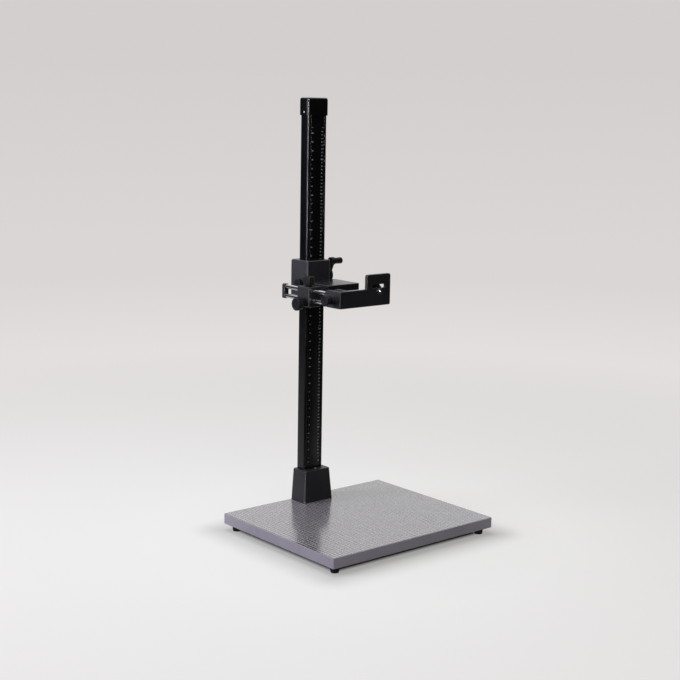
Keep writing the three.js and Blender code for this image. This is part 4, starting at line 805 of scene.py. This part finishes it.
# %% Cup and vial
level_seat = (vial_middle.x / MM, vial_middle.y / MM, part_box("level_cup")[0].z / MM)
cup = spun(eased_profile([(0, 0, 0), (8, 0, 0.4), (8, 8, 0.5), (6, 8, 0.4), (6, 2, 0), (0, 2, 0)]))
keep(as_piece("level_housing", stood(cup, (0, 0, 1), level_seat), knob_plastic), "level_cup")
dome = spun([(0, 2.05), (5.6, 2.05), (5.6, 6.4), (5.3, 6.9), (4.4, 7.4), (3.2, 7.75), (1.6, 7.95),
             (0, 8)])
keep(as_piece("level_dome", stood(dome, (0, 0, 1), level_seat), level_fluid), "level_vial")

# %% [markdown]
# ## Screws of the rack, the cover, the wing and the cap
# The rack is held to the column by six small countersunk screws, the carriage's rear cover by
# four and the guide block's wing by four button heads from below. They are small, but they are
# what makes the sides and the back look built, and each row is one spun screw set out by a tree.
# The cap, the end bar and the crank have single screws, which take the place of their solids.

# %% Flush screws in the rack and the rear cover
RACK_SCREWS, RACK_SCREW_INSET, RACK_SCREW_FROM_REAR = 6, 16, 2.25
flush = spun([(0, -3), (1.3, -3), (1.3, -0.9), (2.05, -0.15), (2.05, -0.08), (1.3, -0.05),
              (1.1, -0.1, HEX), (1.1, -1.0, HEX), (0, -1.1)], 36)
low, high = (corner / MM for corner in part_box("gear_rack"))
rack_step = (high.z - low.z - 2 * RACK_SCREW_INSET) / (RACK_SCREWS - 1)
rack_place = (high.x, high.y - RACK_SCREW_FROM_REAR, low.z + RACK_SCREW_INSET)
rack_screws = as_piece("rack_screws", stood(flush, (1, 0, 0), rack_place), dark_steel)
set_out(rack_screws, 1, (0, 0, 0), RACK_SCREWS, (0, 0, rack_step))
keep(rack_screws, body="base", slot="dark_steel")

COVER_SCREW_INSET = 4
sunk = spun([(0, -6), (2.1, -6), (2.1, -0.45), (1.95, -0.3), (1.35, -0.3), (1.25, -0.4, HEX),
             (1.25, -1.6, HEX), (0, -1.7)], 36)
low, high = (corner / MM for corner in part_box("carriage_rear_cover"))
cover_place = (low.x + COVER_SCREW_INSET, high.y, low.z + COVER_SCREW_INSET)
cover_screws = as_piece("cover_screws", stood(sunk, (0, 1, 0), cover_place), dark_steel)
set_out(cover_screws, 2, (high.x - low.x - 2 * COVER_SCREW_INSET, 0, 0),
        2, (0, 0, high.z - low.z - 2 * COVER_SCREW_INSET))
keep(cover_screws, body="carriage", slot="dark_steel")

# %% Button heads under the wing
WING_THICK = 16
WING_ROWS = [(-52.55, 137.5, 34.2), (-34.4, 143.2, 28.5)]
wing_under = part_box("arm_plate")[0].z / MM - WING_THICK
for number, (x, y, step) in enumerate(WING_ROWS, 1):
    button = stood(spun(socket_screw(4.6, 2.4, 1.6), 40), (0, 0, -1), (x, y, wing_under))
    pair = as_piece(f"wing_screws_{number}", button, dark_steel)
    set_out(pair, 1, (0, 0, 0), 2, (0, step, 0))
    keep(pair, body="carriage", slot="dark_steel")

# %% Screws in the cap, the end bar and the crank
def along(direction):
    return [abs(d) for d in direction].index(1)


def screw_on(name, node, direction, head, rise, key, material):
    low, high = (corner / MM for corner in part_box(node))
    axis = along(direction)
    seat = (low + high) / 2
    seat[axis] = high[axis] - rise if direction[axis] > 0 else low[axis] + rise
    shank = socket_screw(head, rise, key, head * 0.45, high[axis] - low[axis] - rise)
    keep(as_piece(name, stood(spun(shank, 48), direction, seat), material), node)


screw_on("cap_side_screw", "cap_screw", (-1, 0, 0), 3.0, 1.2, 1.3, bright_steel)
screw_on("end_screw_upper", "upper_end_screw", (0, 1, 0), 3.6, 3.0, 1.7, dark_steel)
screw_on("end_screw_lower", "lower_end_screw", (0, 1, 0), 3.6, 3.0, 1.7, dark_steel)
screw_on("crank_centre_screw", "crank_screw", (1, 0, 0), 6.0, 3.0, 2.4, dark_steel)

# %% [markdown]
# ## Rods
# Two chromed rods carry the camera bracket in and out. The upper one is plain. The lower one has
# rack teeth cut across its underside, where the drive pinion grips it. Cutting the teeth with a
# Boolean works, but leaves ragged faces on a mirror finish. Instead the rod is built ring by
# ring, and a ring that crosses a tooth gap has its underside lifted to the gap's floor.

# %% Plain rod
ROD_END_EASE = 0.7
low, high = (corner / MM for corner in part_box("upper_rod"))
middle, rod_radius = (low + high) / 2, (high.x - low.x) / 2
rod_from, rod_to = low.y, high.y
rod = spun(eased_profile([(0, rod_from, 0), (rod_radius, rod_from, ROD_END_EASE),
                          (rod_radius, rod_to, ROD_END_EASE), (0, rod_to, 0)]), 64)
keep(as_piece("rod_upper", stood(rod, (0, 1, 0), (middle.x, 0, middle.z)), chrome), "upper_rod")

# %% Measures of the teeth, after the drive pinion
MODULE, PRESSURE_ANGLE, PLAY, TIP_SHARE = 1.25, 25, 0.15, 0.7
PITCH_LEVEL = 628.8
RACK_FROM, RACK_TO = 33, 183
gear_y = middle_of("arm_drive_pinion").y
pitch = math.pi * MODULE
slant = MODULE * math.tan(math.radians(PRESSURE_ANGLE))
half_gap = pitch / 4 - PLAY / 2
half_tip, half_root = half_gap - TIP_SHARE * slant, half_gap + slant
tip_level, root_level = PITCH_LEVEL - TIP_SHARE * MODULE, PITCH_LEVEL + MODULE
first = math.ceil((RACK_FROM + half_root - gear_y) / pitch - 0.5)
last = math.floor((RACK_TO - half_root - gear_y) / pitch - 0.5)
print("teeth on the rod:", last - first + 1)

# %% Toothed rod, ring by ring
SIDES, UNCUT, STEP, END_DROP = 48, -1e9, 0.02, 0.65
rod_middle = middle_of("lower_rod")
end_radius = rod_radius - END_DROP
centres = [gear_y + (tooth + 0.5) * pitch for tooth in range(first, last + 1)]
stations = [(rod_from, end_radius, UNCUT), (rod_from + ROD_END_EASE, rod_radius, UNCUT),
            (centres[0] - half_root - STEP, rod_radius, UNCUT)]
for centre in centres:
    stations += [(centre + offset, rod_radius, level) for offset, level in (
        (-half_root, root_level), (-half_tip, tip_level), (half_tip, tip_level), (half_root, root_level))]
stations += [(centres[-1] + half_root + STEP, rod_radius, UNCUT),
             (rod_to - ROD_END_EASE, rod_radius, UNCUT), (rod_to, end_radius, UNCUT)]
skin = bmesh.new()
rings = []
for place, radius, level in stations:
    turns = [2 * math.pi * k / SIDES for k in range(SIDES)]
    rings.append([skin.verts.new(Vector((
        rod_middle.x + radius * math.cos(turn), place,
        max(rod_middle.z + radius * math.sin(turn), level))) * MM) for turn in turns])
for near, after in zip(rings, rings[1:]):
    for k in range(SIDES):
        skin.faces.new([near[k], after[k], after[(k + 1) % SIDES], near[(k + 1) % SIDES]])
skin.faces.new(rings[0])
skin.faces.new(list(reversed(rings[-1])))
bmesh.ops.recalc_face_normals(skin, faces=skin.faces)
keep(as_piece("rod_lower", skin, chrome), "lower_rod")

# %% [markdown]
# ## Knobs with flutes
# Five black knobs lock or drive the stand, and each has shallow flutes for grip. A knob is spun
# smooth first, with an eased rim, a dished face and its neck. A tree then presses the flutes in:
# each point moves towards the axis by a cosine of its angle, and the push fades out below the
# rim so that the face and the neck stay round. The number and depth of flutes are inputs.

# %% A tree that presses flutes into a turned knob
def round_place(tree):
    at = add(tree, "GeometryNodeInputPosition").outputs[0]
    parts = add(tree, "ShaderNodeSeparateXYZ", {0: at}).outputs
    angle = maths(tree, "ARCTAN2", parts["Y"], parts["X"])
    return vector_maths(tree, "MULTIPLY", at, (1, 1, 0)), angle, parts["Z"]


def press_inwards(tree, given, flat_at, push):
    outwards = vector_maths(tree, "NORMALIZE", flat_at)
    offset = add(tree, "ShaderNodeVectorMath", {
        0: outwards, "Scale": maths(tree, "MULTIPLY", push, -1.0)}, operation="SCALE").outputs[0]
    pressed = add(tree, "GeometryNodeSetPosition", {"Geometry": given["Geometry"], "Offset": offset})
    end_tree(tree, given, pressed.outputs[0])


flute_tree, given = start_tree("flutes", [
    ("Flutes", "Int"), ("Depth", "Float"), ("Inner", "Float"), ("Outer", "Float")])
flat_at, angle, _ = round_place(flute_tree)
wave = maths(flute_tree, "COSINE", maths(flute_tree, "MULTIPLY", angle, given["Flutes"]))
dip = remap(flute_tree, wave, 1.0, -1.0)
fade = remap(flute_tree, vector_maths(flute_tree, "LENGTH", flat_at), given["Inner"], given["Outer"])
push = maths(flute_tree, "MULTIPLY", maths(flute_tree, "MULTIPLY", dip, fade), given["Depth"])
press_inwards(flute_tree, given, flat_at, push)
print("tree:", flute_tree.name)

# %% Spin, press and place the five knobs
FLUTES, FLUTE_DEPTH = 12, 0.9


def fluted_knob(name, node, direction, depth, neck):
    low, high = (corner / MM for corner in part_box(node))
    span, face_middle, axis = high - low, (low + high) / 2, along(direction)
    face_middle[axis] = (high if direction[axis] > 0 else low)[axis]
    length, radius = span[axis], max(span[(axis + 1) % 3], span[(axis + 2) % 3]) / 2
    profile = [(0, -length, 0), (neck, -length, 0.3), (neck, -depth, 0)] if neck else [(0, -depth, 0)]
    profile += [(radius, -depth, 1.4), (radius, 0, 1.6), (radius * 0.66, 0, 0.35),
                (radius * 0.62, -0.45, 0.35), (0, -0.45, 0)]
    knob = as_piece(name, spun(eased_profile(profile, 5), 144), knob_plastic)
    run_tree(knob, flute_tree, {"Flutes": FLUTES, "Depth": FLUTE_DEPTH * MM,
                                "Inner": (radius - 3.2) * MM, "Outer": (radius - 0.6) * MM})
    knob.data.transform(placing(direction, face_middle))
    keep(knob, node)


fluted_knob("height_lock_grip", "height_lock_knob", (-1, 0, 0), 10.5, 9)
fluted_knob("rod_drive_grip", "arm_drive_knob", (-1, 0, 0), 16.5, 10)
fluted_knob("rod_lock_grip", "arm_lock_knob", (0, 0, 1), 22.5, 8)
fluted_knob("tilt_grip", "tilt_knob", (-1, 0, 0), 11, 10)
fluted_knob("camera_screw_grip", "camera_screw_knob", (0, 1, 0), 14, 0)

# %% [markdown]
# ## Crank, tilt bolt and camera screw
# The crank's disc and grip are moulded round parts. The grip is slightly barrelled and widens to
# its free end, where the head of its pin sits in a counterbore. The tilt pivot is a hexagon bolt
# with a broad washer under the knob. The camera screw carries the standard thread, which a tree
# cuts by moving each point in and out along a sawtooth that climbs one pitch per turn.

# %% Disc, grip and pin
def axis_places(node, axis):
    low, high = (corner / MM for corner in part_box(node))
    centre = (low + high) / 2
    centre[axis] = 0
    return centre, low[axis], high[axis], high.z - centre.z


def across(name, node, skin, centre, material):
    keep(as_piece(name, stood(skin, (1, 0, 0), centre), material), node)


centre, start, end, rim = axis_places("crank_disc", 0)
disc = spun(eased_profile([
    (0, start, 0), (rim, start, 0.8), (rim, end, 1.3), (13, end, 0.3), (12.6, end - 0.3, 0.2),
    (0, end - 0.3, 0)]), 96)
across("crank_plate", "crank_disc", disc, centre, knob_plastic)
centre, start, end, rim = axis_places("crank_handle", 0)
grip = spun(eased_profile([
    (0, start, 0), (rim - 3.0, start, 0.6), (rim - 0.75, start + 2.2, 1.6),
    (rim - 0.65, (start + end) / 2, 6), (rim, end - 2.4, 1.6), (rim - 2.3, end, 0.8),
    (4.8, end, 0.3), (4.8, end - 3.3, 0), (0, end - 3.3, 0)], 6), 72)
across("crank_grip_shell", "crank_handle", grip, centre, knob_plastic)
centre, start, end, _ = axis_places("handle_pin", 0)
pin = spun([(0, start), (3, start), (3, end - 3), (4.5, end - 2.9), (4.5, end - 0.4), (4.1, end),
            (2.0, end), (1.9, end - 0.1, HEX), (1.9, end - 1.6, HEX), (0, end - 1.8)], 48)
across("grip_pin", "handle_pin", pin, centre, dark_steel)

# %% Washer and bolt of the tilt pivot
centre, start, end, rim = axis_places("tilt_washer", 0)
bore = 4.3
washer = spun(eased_profile([
    (bore, start, 0), (rim, start, 0.5), (rim, end, 0.5), (bore, end, 0), (bore, start, 0)]), 96)
bmesh.ops.remove_doubles(washer, verts=washer.verts, dist=1e-7)
across("tilt_disc", "tilt_washer", washer, centre, dark_steel)
centre, start, end, _ = axis_places("tilt_bolt", 0)
pivot = spun([(0, start), (3.6, start), (4, start + 0.4), (4, end - 5), (6.2, end - 5),
              (7, end - 4.8, HEX), (7, end - 0.7, HEX), (5.7, end), (0, end)], 48)
across("pivot_bolt", "tilt_bolt", pivot, centre, bright_steel)

# %% A tree that cuts a thread
RUN_OUT = 0.4 * MM
thread_tree, given = start_tree("screw_thread", [
    ("Pitch", "Float"), ("Depth", "Float"), ("From", "Float"), ("To", "Float")])
flat_at, angle, level = round_place(thread_tree)
turned_by = maths(thread_tree, "DIVIDE", angle, 2 * math.pi)
climb = maths(thread_tree, "SUBTRACT", maths(thread_tree, "DIVIDE", level, given["Pitch"]), turned_by)
tooth = maths(thread_tree, "MULTIPLY", maths(thread_tree, "PINGPONG", climb, 0.5), 2.0)
cut_from, cut_to = (
    remap(thread_tree, level, given[end_name], maths(thread_tree, "ADD", given[end_name], RUN_OUT), *span)
    for end_name, span in (("From", (0.0, 1.0)), ("To", (1.0, 0.0))))
depth = maths(thread_tree, "MULTIPLY", maths(thread_tree, "MULTIPLY", tooth, given["Depth"]),
              maths(thread_tree, "MULTIPLY", cut_from, cut_to))
press_inwards(thread_tree, given, flat_at, depth)
print("tree:", thread_tree.name)

# %% Camera screw
THREAD_RADIUS, THREAD_PITCH, THREAD_DEPTH = 3.17, 1.27, 0.55
COLLAR, COLLAR_THICK, ROWS = 6.2, 1.6, 32
centre, start, end, _ = axis_places("camera_screw", 1)
shape = [(0, start - end), (THREAD_RADIUS, start - end), (THREAD_RADIUS, -COLLAR)]
shape += eased_profile([(7.5, -COLLAR, 0.3), (7.5, -COLLAR + COLLAR_THICK, 0.4),
                        (THREAD_RADIUS, -COLLAR + COLLAR_THICK, 0)], 3)
shape += [(THREAD_RADIUS, -COLLAR + COLLAR_THICK + (COLLAR - 2.0) * k / ROWS) for k in range(1, ROWS + 1)]
shape += [(2.7, 0), (0, 0)]
screw = as_piece("camera_thread", spun(shape, 48), chrome)
run_tree(screw, thread_tree, {
    "Pitch": THREAD_PITCH * MM, "Depth": THREAD_DEPTH * MM,
    "From": (-COLLAR + COLLAR_THICK + 0.1) * MM, "To": -0.45 * MM})
centre.y = start
screw.data.transform(placing((0, -1, 0), centre))
keep(screw, "camera_screw")

# %% [markdown]
# ## The scale on the column
# Down the front of the column run two printed scales, centimetres on the right and inches on
# the left, so that a height can be found again. Only plain numbers and the two unit marks are
# printed. The figures are type: each digit is made once from Blender's own font, and a number is
# set from those digits. The short ticks beside them repeat at a fixed step, so a tree sets them.

# %% Cast the digits
def cast(text):
    curve = bpy.data.curves.new("type", "FONT")
    curve.body, curve.size, curve.resolution_u, curve.extrude = text, 1.0, 2, 0.008
    curve.offset = 0.018
    curve.align_x = curve.align_y = "CENTER"
    block = bpy.data.objects.new("type", curve)
    scene.collection.objects.link(block)
    data = bpy.data.meshes.new_from_object(block.evaluated_get(bpy.context.evaluated_depsgraph_get()))
    bpy.data.objects.remove(block)
    return data


TYPE = {text: cast(text) for text in (*"0123456789", "cm", "in")}
print("cast:", len(TYPE), "pieces of type")

# %% Set the numbers on the column's front
FACE_Y = front_y - 0.02
UPRIGHT = Matrix.Rotation(math.pi / 2, 4, "X")


def set_text(skin, text, size, x, z):
    signs = [text] if text in TYPE else list(text)
    advance = size * 0.62
    for k, sign in enumerate(signs):
        place = x + (k - (len(signs) - 1) / 2) * advance
        old = set(skin.verts)
        skin.from_mesh(TYPE[sign])
        new = [v for v in skin.verts if v not in old]
        spot = Matrix.Translation(Vector((place, FACE_Y, z)) * MM)
        bmesh.ops.transform(skin, verts=new, matrix=spot @ UPRIGHT @ Matrix.Scale(size * MM, 4))


CM, INCH = 10, 25.4
FIRST_Z, LAST_Z = 130, 1100
CM_X, INCH_X, UNIT_X = 17.2, -17.6, 19.4
UNIT_BELOW, UNIT_ABOVE = 12.5, 11.5
CM_TYPE, TENS_TYPE, INCH_TYPE, UNIT_TYPE = 4.0, 5.4, 4.8, 4.2
centimetres, inches = (int((LAST_Z - FIRST_Z) / unit) + 1 for unit in (CM, INCH))
figures = bmesh.new()
for number in range(1, centimetres + 1):
    size = CM_TYPE if number % 10 else TENS_TYPE
    set_text(figures, str(number), size, CM_X, FIRST_Z + CM * (number - 1))
for number in range(1, inches + 1):
    set_text(figures, str(number), INCH_TYPE, INCH_X, FIRST_Z + INCH * (number - 1))
for z in (FIRST_Z - UNIT_BELOW, LAST_Z + UNIT_ABOVE):
    set_text(figures, "cm", UNIT_TYPE, UNIT_X, z)
    set_text(figures, "in", UNIT_TYPE, -UNIT_X, z)
keep(as_piece("scale_figures", figures, print_ink), body="base", slot="column_coat")

# %% Ticks beside the figures
TICK_LONG, TICK_DEEP, TICK_THICK = 1.6, 0.03, 0.5
CM_TICK_X, INCH_TICK_X = 21.4, -21.6
for name, x, count, step in (("ticks_centimetre", CM_TICK_X, centimetres, CM),
                             ("ticks_half_inch", INCH_TICK_X, 2 * inches - 1, INCH / 2)):
    skin = bmesh.new()
    bmesh.ops.create_cube(skin, size=MM)
    skin.transform(Matrix.Translation(Vector((x, FACE_Y, FIRST_Z)) * MM)
                   @ Matrix.Diagonal((TICK_LONG, TICK_DEEP, TICK_THICK, 1)))
    ticks = set_out(as_piece(name, skin, print_ink), 1, (0, 0, 0), count, (0, 0, step))
    keep(ticks, body="base", slot="column_coat")
